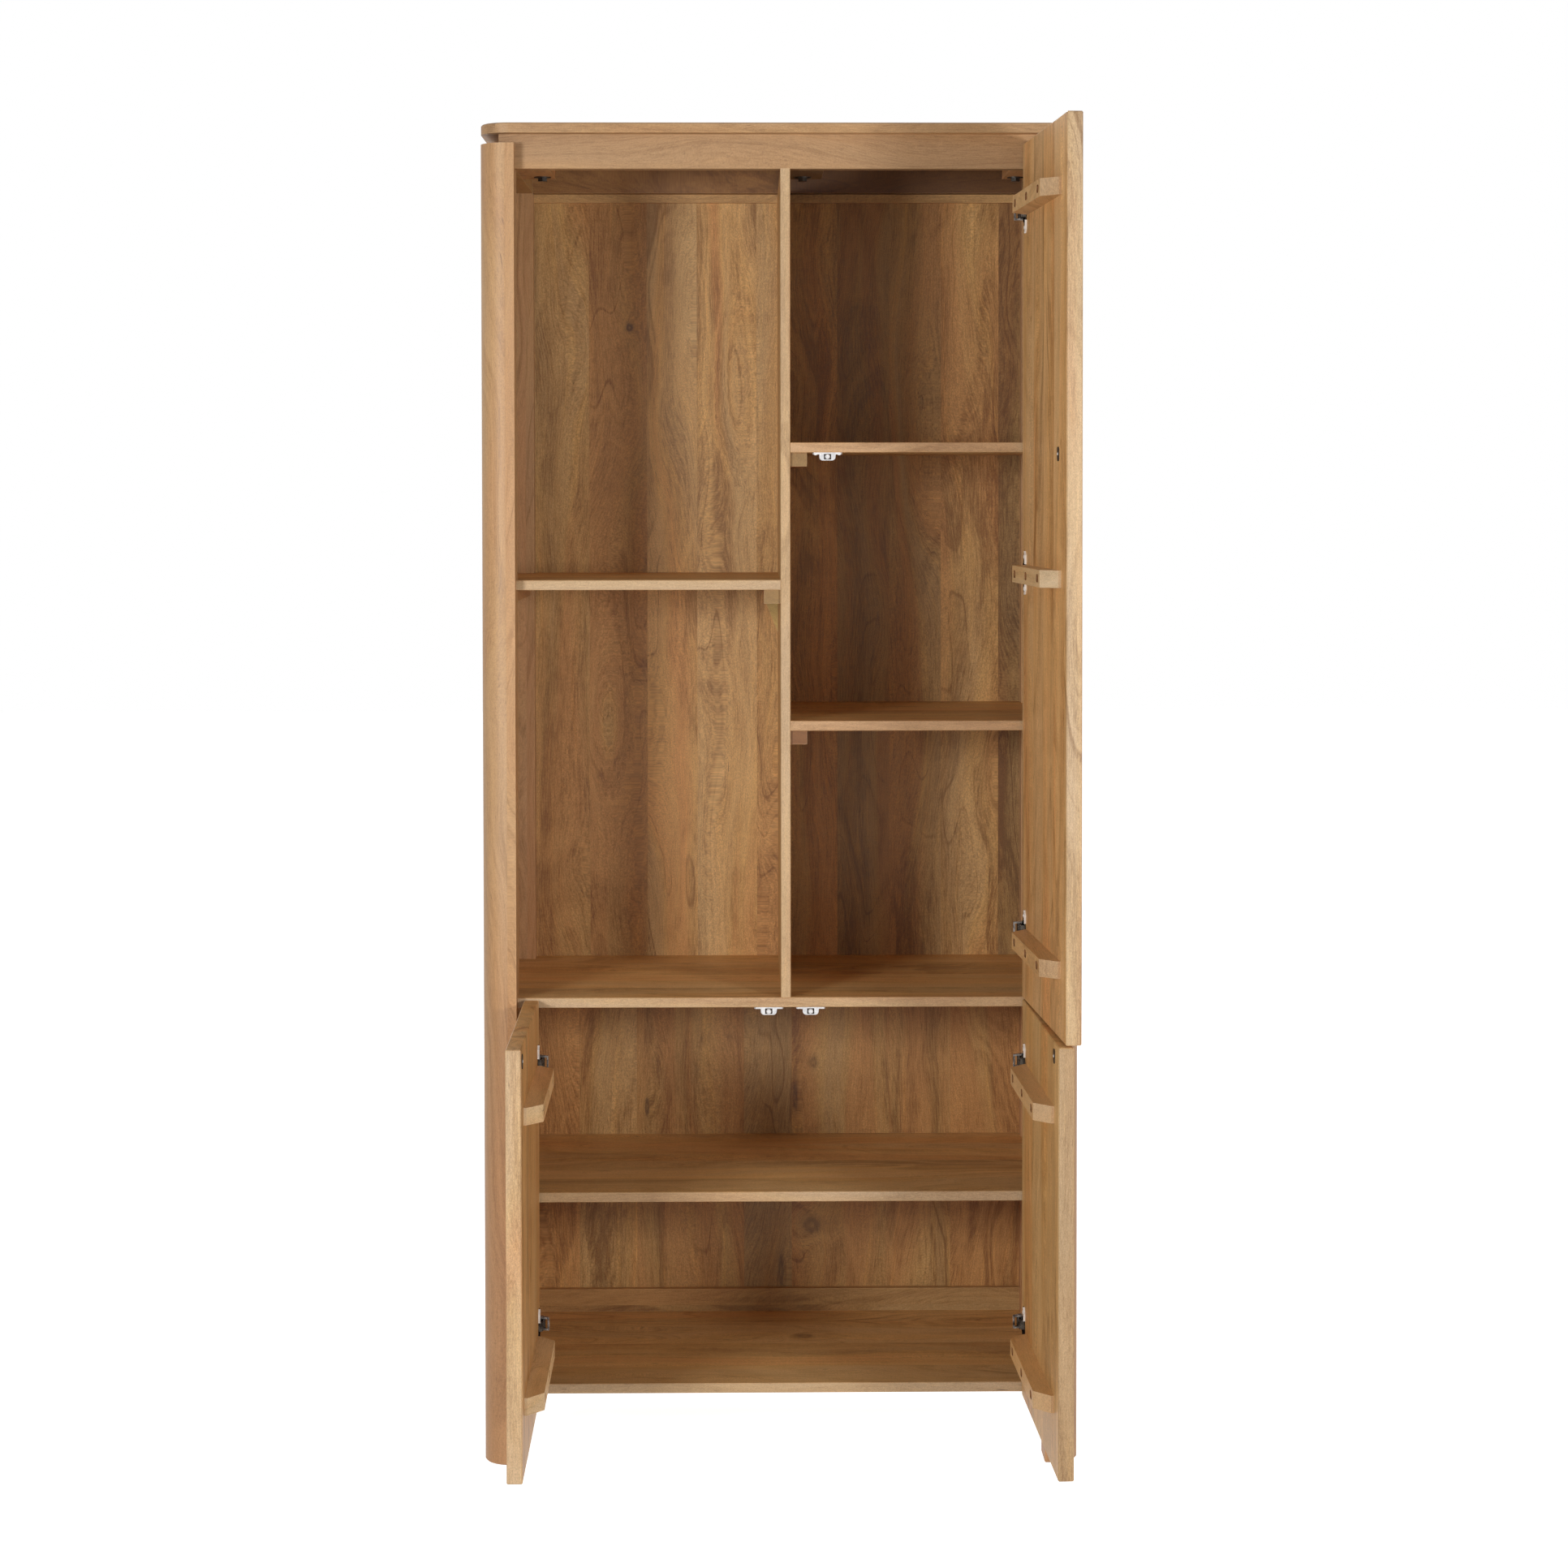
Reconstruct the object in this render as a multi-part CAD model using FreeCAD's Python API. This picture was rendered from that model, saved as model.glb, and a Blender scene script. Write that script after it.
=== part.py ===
"""Tall solid-wood cupboard: a post-and-panel carcass with an open niche and three push-to-open doors."""
import FreeCAD, Part
import math
import os

os.makedirs("parts", exist_ok=True)
V = FreeCAD.Vector
UP = V(0, 0, 1)

# Overall sizes (mm); x to the right, y into the cupboard from the fronts of the posts, z up from the floor
WIDTH = 900.0
DEPTH = 450.0
HEIGHT = 2020.0

# Top and the neck frame that carries it above the posts
TOP_THICKNESS = 15.0
TOP_CORNER_RADIUS = 44.0
TOP_EDGE_EASE = 2.0
SHADOW_GAP = 15.0
NECK_RAIL_HEIGHT = 51.0
NECK_RAIL_THICKNESS = 24.0
NECK_SIDE_INSET = 28.0

# Posts
POST_WIDTH = 52.0
POST_RADIUS = 38.0
POST_FOOT_CHAMFER = 2.0

# Panels of the carcass and the grooves that hold them
SIDE_THICKNESS = 15.0
SIDE_INSET = 6.0
BACK_THICKNESS = 12.0
BACK_INSET = 8.0
GROOVE_DEPTH = 6.0
BACK_RAIL_THICKNESS = 12.0
BACK_TOP_RAIL_DROP = 13.0
BACK_BOTTOM_RAIL_HEIGHT = 37.0

# Boards: thicknesses and heights of their upper faces
SHELF_THICKNESS = 15.0
MID_THICKNESS = 15.0
BOTTOM_THICKNESS = 15.0
DIVIDER_THICKNESS = 15.0
BOTTOM_TOP = 116.0
LOWER_SHELF_TOP = 408.0
MID_TOP = 704.0
MIDDLE_RIGHT_SHELF_TOP = 1123.0
LEFT_SHELF_TOP = 1336.0
UPPER_RIGHT_SHELF_TOP = 1543.0
DIVIDER_LEFT_FACE = 0.0
BOARD_EDGE_EASE = 1.0

# Cleats under the shelves, and a gusset under the left shelf's inner cleat
CLEAT_WIDTH = 25.0
CLEAT_HEIGHT = 21.0
CLEAT_SETBACK = 6.0
GUSSET_DROP = 63.0
GUSSET_THICKNESS = 10.0

# Blocks behind the front neck rail, with the bolts that hold the top
BLOCK_WIDTH = 51.0
BLOCK_LENGTH = 130.0
CORNER_BOLT_OFFSET = 33.0
DIVIDER_BOLT_OFFSET = 21.0
BOLT_FROM_BLOCK_END = 30.0
BOLT_RADIUS = 4.0
BOLT_HEAD_RADIUS = 7.5
BOLT_HEAD_SIDES = 6
BOLT_HEAD_HEIGHT = 5.0
BOLT_FIT = 0.2
BOLT_TOP_BITE = 9.0
WASHER_RADIUS = 13.0
WASHER_THICKNESS = 1.5

# Doors
DOOR_THICKNESS = 22.0
DOOR_HINGE_GAP = 3.0
DOOR_MEETING_GAP = 3.0
DOOR_SPLIT_GAP = 3.0
DOOR_SPLIT_BELOW_MID = 1.0
DOOR_BELOW_BOTTOM = 3.0
DOOR_BACK_CLEARANCE = 3.0
DOOR_EDGE_EASE = 1.5

# Battens on the backs of the doors; places run from the post along the closed door
BATTEN_HEIGHT = 24.5
BATTEN_THICKNESS = 26.5
BATTEN_END_THICKNESS = 4.0
BATTEN_START = 50.0
BATTEN_FREE_END_MARGIN = 46.0
BATTEN_BEVEL = 24.0
BATTEN_SLOT_RADIUS = 6.0
BATTEN_SLOT_LENGTH = 20.0
BATTEN_SLOT_DEPTH = 14.0
BATTEN_SLOT_FROM_BEVEL = 22.0
UPPER_BATTEN_FROM_END = 97.5
LOWER_BATTEN_FROM_TOP = 102.0
LOWER_BATTEN_FROM_BOTTOM = 94.0

# Hinges: pin places from the inner face of the post (x) and the front of the posts (y), with the door closed
UPPER_HINGE_FROM_END = 103.5
LOWER_HINGE_FROM_TOP = 95.0
LOWER_HINGE_FROM_BOTTOM = 110.0
ARM_PIN_X = 37.0
ARM_PIN_Y = 29.0
CUP_PIN_X = 16.0
CUP_PIN_Y = 13.5
LINK_TURN_RATIO = 0.26
MOST_OPEN = 100.0
PIN_RADIUS = 1.5
PIN_SEAT_FIT = 0.05
PIN_RUN_FIT = 0.1
CUP_RADIUS = 17.5
CUP_FIT = 0.1
CUP_DEPTH = 13.5
CUP_WALL = 1.0
CUP_EDGE_DISTANCE = 4.0
CUP_PIN_BITE = 0.6
FLANGE_HEIGHT = 64.0
FLANGE_WIDTH = 20.0
FLANGE_OFFSET = 5.0
FLANGE_THICKNESS = 1.2
FLANGE_CORNER = 6.0
LINK_WIDTH = 14.0
LINK_THICKNESS = 2.2
LINK_EYE_RADIUS = 3.3
LINK_EYE_SIDES = 8
LINK_RIM_CLEARANCE = 0.6
LINK_WALL_CLEARANCE = 1.5
ARM_WIDTH = 20.0
ARM_TIP_RADIUS = 3.6
ARM_NOSE_REACH = 9.5
ARM_NOSE_SHARE = 0.45
ARM_SLOT_REACH = 6.5
ARM_SLOT_FIT = 0.3
ARM_FOOT_START = 34.0
ARM_FOOT_END = 51.0
ARM_FOOT_RISE = 7.0
PLATE_THICKNESS = 2.0
PLATE_START = 33.0
PLATE_HEIGHT = 50.0
PLATE_CORNER = 4.0

# Touch latches: places of the plungers across the cupboard, and the sizes of the unit
UPPER_LATCH_X = 71.0
LOWER_LEFT_LATCH_X = -18.5
LOWER_RIGHT_LATCH_X = 45.0
PLUNGER_DROP = 6.5
PLUNGER_RADIUS = 3.8
PLUNGER_FIT = 0.3
PLUNGER_LENGTH = 38.0
PLUNGER_NOSE = 1.0
PLUNGER_STRIKE_GAP = 0.8
PLUNGER_TRAVEL = 3.0
PLUNGER_BORE_SPARE = 4.0
LATCH_WIDTH = 25.0
LATCH_LOWER_WIDTH = 23.0
LATCH_HEIGHT = 12.0
LATCH_LENGTH = 48.0
LATCH_FRONT_SETBACK = 3.0
LATCH_CORNER = 5.0
LATCH_EAR_SPAN = 44.0
LATCH_EAR_LENGTH = 16.0
LATCH_EAR_THICKNESS = 3.0
LATCH_EAR_CORNER = 2.0
LATCH_MOUTH_WIDTH = 11.0
LATCH_MOUTH_HEIGHT = 8.4
LATCH_MOUTH_DEPTH = 2.0
STRIKE_WIDTH = 12.0
STRIKE_HEIGHT = 20.0
STRIKE_THICKNESS = 1.2
STRIKE_CORNER = 3.0

# How far each door stands open at rest (degrees from closed)
UPPER_RIGHT_OPEN = 93.5
LOWER_LEFT_OPEN = 89.5
LOWER_RIGHT_OPEN = 92.0

# Levels and planes that follow from the sizes above
TOP_UNDERSIDE = HEIGHT - TOP_THICKNESS
POST_TOP = TOP_UNDERSIDE - SHADOW_GAP
CEILING = TOP_UNDERSIDE - NECK_RAIL_HEIGHT
POST_INNER = WIDTH / 2 - POST_WIDTH
REAR_POST_FRONT = DEPTH - POST_WIDTH
SIDE_OUTER = WIDTH / 2 - SIDE_INSET
SIDE_INNER = SIDE_OUTER - SIDE_THICKNESS
BACK_REAR = DEPTH - BACK_INSET
BACK_FRONT = BACK_REAR - BACK_THICKNESS
BACK_RAIL_FRONT = BACK_FRONT - BACK_RAIL_THICKNESS
BOARD_FRONT = DOOR_THICKNESS + DOOR_BACK_CLEARANCE
BOTTOM_UNDERSIDE = BOTTOM_TOP - BOTTOM_THICKNESS
MID_UNDERSIDE = MID_TOP - MID_THICKNESS
DIVIDER_RIGHT_FACE = DIVIDER_LEFT_FACE + DIVIDER_THICKNESS
NECK_OUTER = WIDTH / 2 - NECK_SIDE_INSET
NECK_FRONT_BACK = BOARD_FRONT + NECK_RAIL_THICKNESS
NECK_BACK_FRONT = BACK_RAIL_FRONT - NECK_RAIL_THICKNESS
DOOR_SPLIT = MID_TOP - DOOR_SPLIT_BELOW_MID
UPPER_DOOR_BOTTOM = DOOR_SPLIT + DOOR_SPLIT_GAP / 2
LOWER_DOOR_TOP = DOOR_SPLIT - DOOR_SPLIT_GAP / 2
LOWER_DOOR_BOTTOM = BOTTOM_UNDERSIDE - DOOR_BELOW_BOTTOM
DOOR_FREE_END = POST_INNER - DOOR_MEETING_GAP / 2
CUP_X = DOOR_HINGE_GAP + CUP_EDGE_DISTANCE + CUP_RADIUS
ARM_PIN = V(ARM_PIN_X, ARM_PIN_Y, 0)
CUP_PIN = V(CUP_PIN_X, CUP_PIN_Y, 0)
LINK_TURN = (1 + LINK_TURN_RATIO) * MOST_OPEN
PLUNGER_TIP = DOOR_THICKNESS + STRIKE_THICKNESS + PLUNGER_STRIKE_GAP
LATCH_FRONT = BOARD_FRONT + LATCH_FRONT_SETBACK


def box(x0, x1, y0, y1, z0, z1):
    """Upright box between two corners."""
    return Part.makeBox(x1 - x0, y1 - y0, z1 - z0, V(x0, y0, z0))


def prism(points, direction):
    """Solid swept from a closed outline of points along a direction."""
    return Part.Face(Part.makePolygon(points + points[:1])).extrude(direction)


def rod(radius, start, direction):
    """Round rod from a start point along a direction."""
    return Part.makeCylinder(radius, direction.Length, start, direction)


def along(edge, axis):
    """True for a straight edge that runs along an axis."""
    ends = edge.Vertexes
    if len(ends) < 2:
        return False
    run = ends[1].Point - ends[0].Point
    return run.Length - abs(run.dot(axis)) < 1e-6


def edges_where(shape, test):
    """Edges of a shape whose middle point and edge pass a test."""
    return [e for e in shape.Edges if test(e.CenterOfMass, e)]


def eased(shape, size, test):
    """Shape with a small chamfer on the edges that pass a test."""
    return shape.makeChamfer(size, edges_where(shape, test))


def turned(point, angle):
    """Plan vector turned about the upright axis by an angle in degrees."""
    a = math.radians(angle)
    return V(point.x * math.cos(a) - point.y * math.sin(a), point.x * math.sin(a) + point.y * math.cos(a), 0)


def many_sided(centre, radius, sides, height):
    """Upright prism with a regular outline."""
    turns = [360.0 * (i + 0.5) / sides for i in range(sides)]
    return prism([centre + turned(V(radius, 0, 0), turn) for turn in turns], V(0, 0, height))


def left_hand(shape, side):
    """Shape mirrored across the middle of the cupboard for the left side, as it is for the right."""
    return shape if side > 0 else shape.mirror(V(0, 0, 0), V(1, 0, 0))


# Top, neck frame and posts


def make_top():
    top = box(-WIDTH / 2, WIDTH / 2, 0, DEPTH, TOP_UNDERSIDE, HEIGHT)
    top = top.makeFillet(TOP_CORNER_RADIUS, edges_where(top, lambda c, e: along(e, UP)))
    top = eased(top, TOP_EDGE_EASE, lambda c, e: abs(c.z - HEIGHT) < 1e-6)
    for x in bolt_places():
        hole = rod(BOLT_RADIUS + BOLT_FIT, V(x, bolt_y(), TOP_UNDERSIDE), V(0, 0, BOLT_TOP_BITE + BOLT_FIT))
        top = top.cut(hole)
    return top


def make_cross_rail(y0):
    """Front or back rail of the neck: its ends are notched to bear on the tops of the posts."""
    points = [
        V(-POST_INNER, y0, CEILING),
        V(POST_INNER, y0, CEILING),
        V(POST_INNER, y0, POST_TOP),
        V(NECK_OUTER, y0, POST_TOP),
        V(NECK_OUTER, y0, TOP_UNDERSIDE),
        V(-NECK_OUTER, y0, TOP_UNDERSIDE),
        V(-NECK_OUTER, y0, POST_TOP),
        V(-POST_INNER, y0, POST_TOP),
    ]
    return prism(points, V(0, NECK_RAIL_THICKNESS, 0))


def make_side_rail(side):
    """Side rail of the neck: it fits between the posts below and between the cross rails above."""
    x0 = POST_INNER
    points = [
        V(x0, POST_WIDTH, CEILING),
        V(x0, REAR_POST_FRONT, CEILING),
        V(x0, REAR_POST_FRONT, POST_TOP),
        V(x0, NECK_BACK_FRONT, POST_TOP),
        V(x0, NECK_BACK_FRONT, TOP_UNDERSIDE),
        V(x0, NECK_FRONT_BACK, TOP_UNDERSIDE),
        V(x0, NECK_FRONT_BACK, POST_TOP),
        V(x0, POST_WIDTH, POST_TOP),
    ]
    return left_hand(prism(points, V(NECK_OUTER - POST_INNER, 0, 0)), side)


def make_post(side, rear):
    """Corner post, modelled at the right: rounded outer corner, grooves for the side and back panels."""
    y0 = REAR_POST_FRONT if rear else 0.0
    outer_y = DEPTH if rear else 0.0
    post = box(POST_INNER, WIDTH / 2, y0, y0 + POST_WIDTH, 0, POST_TOP)
    outer = edges_where(post, lambda c, e: along(e, UP) and c.x > WIDTH / 2 - 1 and abs(c.y - outer_y) < 1)
    post = post.makeFillet(POST_RADIUS, outer)
    post = eased(post, POST_FOOT_CHAMFER, lambda c, e: c.z < 1e-6)
    groove_y = REAR_POST_FRONT if rear else POST_WIDTH - GROOVE_DEPTH
    groove_end = groove_y + GROOVE_DEPTH
    post = post.cut(box(SIDE_INNER, SIDE_OUTER, groove_y, groove_end, BOTTOM_UNDERSIDE, POST_TOP))
    if rear:
        groove = box(POST_INNER, POST_INNER + GROOVE_DEPTH, BACK_FRONT, BACK_REAR, BOTTOM_UNDERSIDE, POST_TOP)
        post = post.cut(groove)
    return left_hand(post, side)


# Side and back panels


def make_side_panel(side):
    panel = box(
        SIDE_INNER,
        SIDE_OUTER,
        POST_WIDTH - GROOVE_DEPTH,
        REAR_POST_FRONT + GROOVE_DEPTH,
        BOTTOM_UNDERSIDE,
        POST_TOP,
    )
    return left_hand(panel, side)


def make_back_panel():
    half = POST_INNER + GROOVE_DEPTH
    return box(-half, half, BACK_FRONT, BACK_REAR, BOTTOM_UNDERSIDE, POST_TOP)


def make_back_rail(z0, z1):
    return box(-POST_INNER, POST_INNER, BACK_RAIL_FRONT, BACK_FRONT, z0, z1)


# Shelves, mid panel, bottom panel and divider


def notched_end(side):
    """Plan corners of a board's end that is notched round the front and rear posts, from front to back."""
    return [
        V(side * POST_INNER, BOARD_FRONT, 0),
        V(side * POST_INNER, POST_WIDTH, 0),
        V(side * SIDE_INNER, POST_WIDTH, 0),
        V(side * SIDE_INNER, REAR_POST_FRONT, 0),
        V(side * POST_INNER, REAR_POST_FRONT, 0),
        V(side * POST_INNER, BACK_FRONT, 0),
    ]


def straight_end(x):
    """Plan corners of a board's end that butts on the divider, from front to back."""
    return [V(x, BOARD_FRONT, 0), V(x, BACK_FRONT, 0)]


def make_board(left_end, right_end, top, thickness):
    """Level board between two ends, with its front edge eased."""
    outline = [V(p.x, p.y, top - thickness) for p in right_end + left_end[::-1]]
    board = prism(outline, V(0, 0, thickness))
    return eased(board, BOARD_EDGE_EASE, lambda c, e: abs(c.y - BOARD_FRONT) < 1e-6 and along(e, V(1, 0, 0)))


def make_divider():
    x0 = DIVIDER_LEFT_FACE
    rail_bottom = CEILING - BACK_TOP_RAIL_DROP
    points = [
        V(x0, BOARD_FRONT, MID_TOP),
        V(x0, BACK_FRONT, MID_TOP),
        V(x0, BACK_FRONT, rail_bottom),
        V(x0, BACK_RAIL_FRONT, rail_bottom),
        V(x0, BACK_RAIL_FRONT, CEILING),
        V(x0, BOARD_FRONT, CEILING),
    ]
    divider = prism(points, V(DIVIDER_THICKNESS, 0, 0))
    return eased(divider, BOARD_EDGE_EASE, lambda c, e: abs(c.y - BOARD_FRONT) < 1e-6 and along(e, UP))


def make_side_cleat(side, underside):
    z0 = underside - CLEAT_HEIGHT
    cleat = box(SIDE_INNER - CLEAT_WIDTH, SIDE_INNER, POST_WIDTH, REAR_POST_FRONT, z0, underside)
    return left_hand(cleat, side)


def make_divider_cleat(side, underside):
    """Cleat on a face of the divider, to its right for side 1 and to its left for side -1."""
    x0 = DIVIDER_RIGHT_FACE if side > 0 else DIVIDER_LEFT_FACE - CLEAT_WIDTH
    front = BOARD_FRONT + CLEAT_SETBACK
    return box(x0, x0 + CLEAT_WIDTH, front, BACK_FRONT, underside - CLEAT_HEIGHT, underside)


def make_gusset(underside):
    """Three-cornered block in the corner of the divider and the back, under the left shelf's inner cleat."""
    z1 = underside - CLEAT_HEIGHT
    points = [
        V(DIVIDER_LEFT_FACE - CLEAT_WIDTH, BACK_FRONT, z1),
        V(DIVIDER_LEFT_FACE, BACK_FRONT, z1),
        V(DIVIDER_LEFT_FACE, BACK_FRONT, z1 - GUSSET_DROP),
    ]
    return prism(points, V(0, -GUSSET_THICKNESS, 0))


# Blocks, bolts and washers that hold the top


def bolt_y():
    return NECK_FRONT_BACK + BLOCK_LENGTH - BOLT_FROM_BLOCK_END


def block_starts():
    """Left faces of the three ceiling blocks."""
    return (-POST_INNER, DIVIDER_RIGHT_FACE, POST_INNER - BLOCK_WIDTH)


def bolt_places():
    """Places of the three bolts across the cupboard."""
    return (
        -POST_INNER + CORNER_BOLT_OFFSET,
        DIVIDER_RIGHT_FACE + DIVIDER_BOLT_OFFSET,
        POST_INNER - CORNER_BOLT_OFFSET,
    )


def make_blocks():
    blocks = []
    for x0, bolt_x in zip(block_starts(), bolt_places()):
        y1 = NECK_FRONT_BACK + BLOCK_LENGTH
        block = box(x0, x0 + BLOCK_WIDTH, NECK_FRONT_BACK, y1, CEILING, TOP_UNDERSIDE)
        hole = rod(BOLT_RADIUS + BOLT_FIT, V(bolt_x, bolt_y(), CEILING), V(0, 0, NECK_RAIL_HEIGHT))
        blocks.append(block.cut(hole))
    return blocks


def make_washers():
    washers = []
    for x in bolt_places():
        start = V(x, bolt_y(), CEILING - WASHER_THICKNESS)
        washer = rod(WASHER_RADIUS, start, V(0, 0, WASHER_THICKNESS))
        washers.append(washer.cut(rod(BOLT_RADIUS + BOLT_FIT, start, V(0, 0, WASHER_THICKNESS))))
    return washers


def make_bolts():
    bolts = []
    head_top = CEILING - WASHER_THICKNESS
    for x in bolt_places():
        centre = V(x, bolt_y(), head_top - BOLT_HEAD_HEIGHT)
        head = many_sided(centre, BOLT_HEAD_RADIUS, BOLT_HEAD_SIDES, BOLT_HEAD_HEIGHT)
        length = TOP_UNDERSIDE + BOLT_TOP_BITE - head_top
        bolts.append(head.fuse(rod(BOLT_RADIUS, V(x, bolt_y(), head_top), V(0, 0, length))).removeSplitter())
    return bolts


# Placing door pieces: they are modelled closed at the left, with x from the inner face of the post


def cup_pin_at(angle):
    """Place of the cup pin when the door stands open by an angle."""
    return ARM_PIN + turned(CUP_PIN - ARM_PIN, LINK_TURN_RATIO * angle)


def swung(shape, angle):
    """Door piece carried by the link and turned open by an angle."""
    moved = shape.copy()
    moved.rotate(CUP_PIN, UP, -angle)
    moved.translate(cup_pin_at(angle) - CUP_PIN)
    return moved


def link_swung(shape, angle):
    """Hinge link turned on its arm pin for a door that stands open by an angle."""
    moved = shape.copy()
    moved.rotate(ARM_PIN, UP, LINK_TURN_RATIO * angle)
    return moved


def hung(shape, side):
    """Piece moved from the door's own frame to its side of the cupboard."""
    placed = shape.mirror(V(0, 0, 0), V(1, 0, 0)) if side > 0 else shape.copy()
    placed.translate(V(side * POST_INNER, 0, 0))
    return placed


# Door panels, battens and strike plates


def make_door_panel(z0, z1, hinge_heights):
    door = box(DOOR_HINGE_GAP, DOOR_FREE_END, 0, DOOR_THICKNESS, z0, z1)
    door = eased(door, DOOR_EDGE_EASE, lambda c, e: True)
    for z in hinge_heights:
        recess = rod(CUP_RADIUS + CUP_FIT, V(CUP_X, DOOR_THICKNESS, z), V(0, -CUP_DEPTH - CUP_FIT, 0))
        door = door.cut(recess)
    return door


def make_slot(x, y1, z):
    """Sunk screw slot, long along the batten so that the door can swell and shrink across its grain."""
    half = BATTEN_SLOT_LENGTH / 2 - BATTEN_SLOT_RADIUS
    y0 = y1 - BATTEN_SLOT_DEPTH
    slot = box(x - half, x + half, y0, y1, z - BATTEN_SLOT_RADIUS, z + BATTEN_SLOT_RADIUS)
    for end in (x - half, x + half):
        slot = slot.fuse(rod(BATTEN_SLOT_RADIUS, V(end, y0, z), V(0, BATTEN_SLOT_DEPTH, 0)))
    return slot.removeSplitter()


def make_batten(z):
    """Batten with bevelled ends and three sunk screw slots."""
    y0 = DOOR_THICKNESS
    y1 = y0 + BATTEN_THICKNESS
    x0 = BATTEN_START
    x1 = DOOR_FREE_END - BATTEN_FREE_END_MARGIN
    z0 = z - BATTEN_HEIGHT / 2
    end_y = y0 + BATTEN_END_THICKNESS
    points = [
        V(x0, y0, z0),
        V(x1, y0, z0),
        V(x1, end_y, z0),
        V(x1 - BATTEN_BEVEL, y1, z0),
        V(x0 + BATTEN_BEVEL, y1, z0),
        V(x0, end_y, z0),
    ]
    batten = prism(points, V(0, 0, BATTEN_HEIGHT))
    inset = BATTEN_BEVEL + BATTEN_SLOT_FROM_BEVEL
    for x in (x0 + inset, (x0 + x1) / 2, x1 - inset):
        batten = batten.cut(make_slot(x, y1, z))
    return batten


def make_strike(x, z):
    y1 = DOOR_THICKNESS + STRIKE_THICKNESS
    half_width = STRIKE_WIDTH / 2
    half_height = STRIKE_HEIGHT / 2
    plate = box(x - half_width, x + half_width, DOOR_THICKNESS, y1, z - half_height, z + half_height)
    return eased(plate, STRIKE_CORNER, lambda c, e: along(e, V(0, 1, 0)))


# Concealed hinges


def make_cup(z):
    """Cup with its flange on the back of the door, and slots in its wall where the cup pin drops in."""
    floor = DOOR_THICKNESS - CUP_DEPTH
    mouth = DOOR_THICKNESS + FLANGE_THICKNESS
    half = FLANGE_HEIGHT / 2
    x0 = CUP_X + FLANGE_OFFSET - FLANGE_WIDTH / 2
    flange = box(x0, x0 + FLANGE_WIDTH, DOOR_THICKNESS, mouth, z - half, z + half)
    flange = eased(flange, FLANGE_CORNER, lambda c, e: along(e, V(0, 1, 0)))
    body = rod(CUP_RADIUS, V(CUP_X, floor, z), V(0, mouth - floor, 0))
    hollow = rod(CUP_RADIUS - CUP_WALL, V(CUP_X, floor + CUP_WALL, z), V(0, mouth - floor, 0))
    half_slot = PIN_RADIUS + PIN_SEAT_FIT
    reach = cup_pin_half_length() + PIN_SEAT_FIT
    slot_floor = CUP_PIN.y - half_slot
    slot = box(CUP_PIN.x - half_slot, CUP_PIN.x + half_slot, slot_floor, mouth, z - reach, z + reach)
    return body.fuse(flange).removeSplitter().cut(hollow).cut(slot)


def cup_pin_half_length():
    """Half length of the cup pin: across the cup at its place, with its ends in the wall."""
    across = math.sqrt((CUP_RADIUS - CUP_WALL) ** 2 - (CUP_X - CUP_PIN.x) ** 2)
    return across + CUP_PIN_BITE


def pin_rod(place, z, half_length, radius):
    """Upright rod centred on a height."""
    return rod(radius, V(place.x, place.y, z - half_length), V(0, 0, 2 * half_length))


def strap_outline(path, half):
    """Closed outline of a bent strap along a path, mitred at its bends."""
    runs = [(end - start).normalize() for start, end in zip(path, path[1:])]
    sides = [V(-run.y, run.x, 0) for run in runs]
    offsets = [sides[0] * half]
    for before, after in zip(sides, sides[1:]):
        offsets.append((before + after) * (half / (1 + before.dot(after))))
    offsets.append(sides[-1] * half)
    return [p + o for p, o in zip(path, offsets)] + [p - o for p, o in zip(path, offsets)][::-1]


def make_link(z):
    """Gooseneck link, drawn fully open where it arches over the rim of the cup, then folded closed."""
    reach = turned(ARM_PIN - CUP_PIN, LINK_TURN)
    arm_end = CUP_PIN + reach
    half = LINK_THICKNESS / 2
    over = DOOR_THICKNESS + FLANGE_THICKNESS + LINK_RIM_CLEARANCE + half
    knee = V(CUP_X - CUP_RADIUS + CUP_WALL + LINK_WALL_CLEARANCE + half, over, 0)
    shoulder = V(DOOR_HINGE_GAP - LINK_RIM_CLEARANCE - half, over, 0)
    outline = strap_outline([CUP_PIN, knee, shoulder, arm_end], half)
    z0 = z - LINK_WIDTH / 2
    link = prism([V(p.x, p.y, z0) for p in outline], V(0, 0, LINK_WIDTH))
    for eye in (CUP_PIN, arm_end):
        link = link.fuse(many_sided(V(eye.x, eye.y, z0), LINK_EYE_RADIUS, LINK_EYE_SIDES, LINK_WIDTH))
    for eye in (CUP_PIN, arm_end):
        link = link.cut(pin_rod(eye, z, LINK_WIDTH, PIN_RADIUS + PIN_RUN_FIT))
    link = link.removeSplitter()
    link.rotate(CUP_PIN, UP, -LINK_TURN)
    return link


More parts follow.
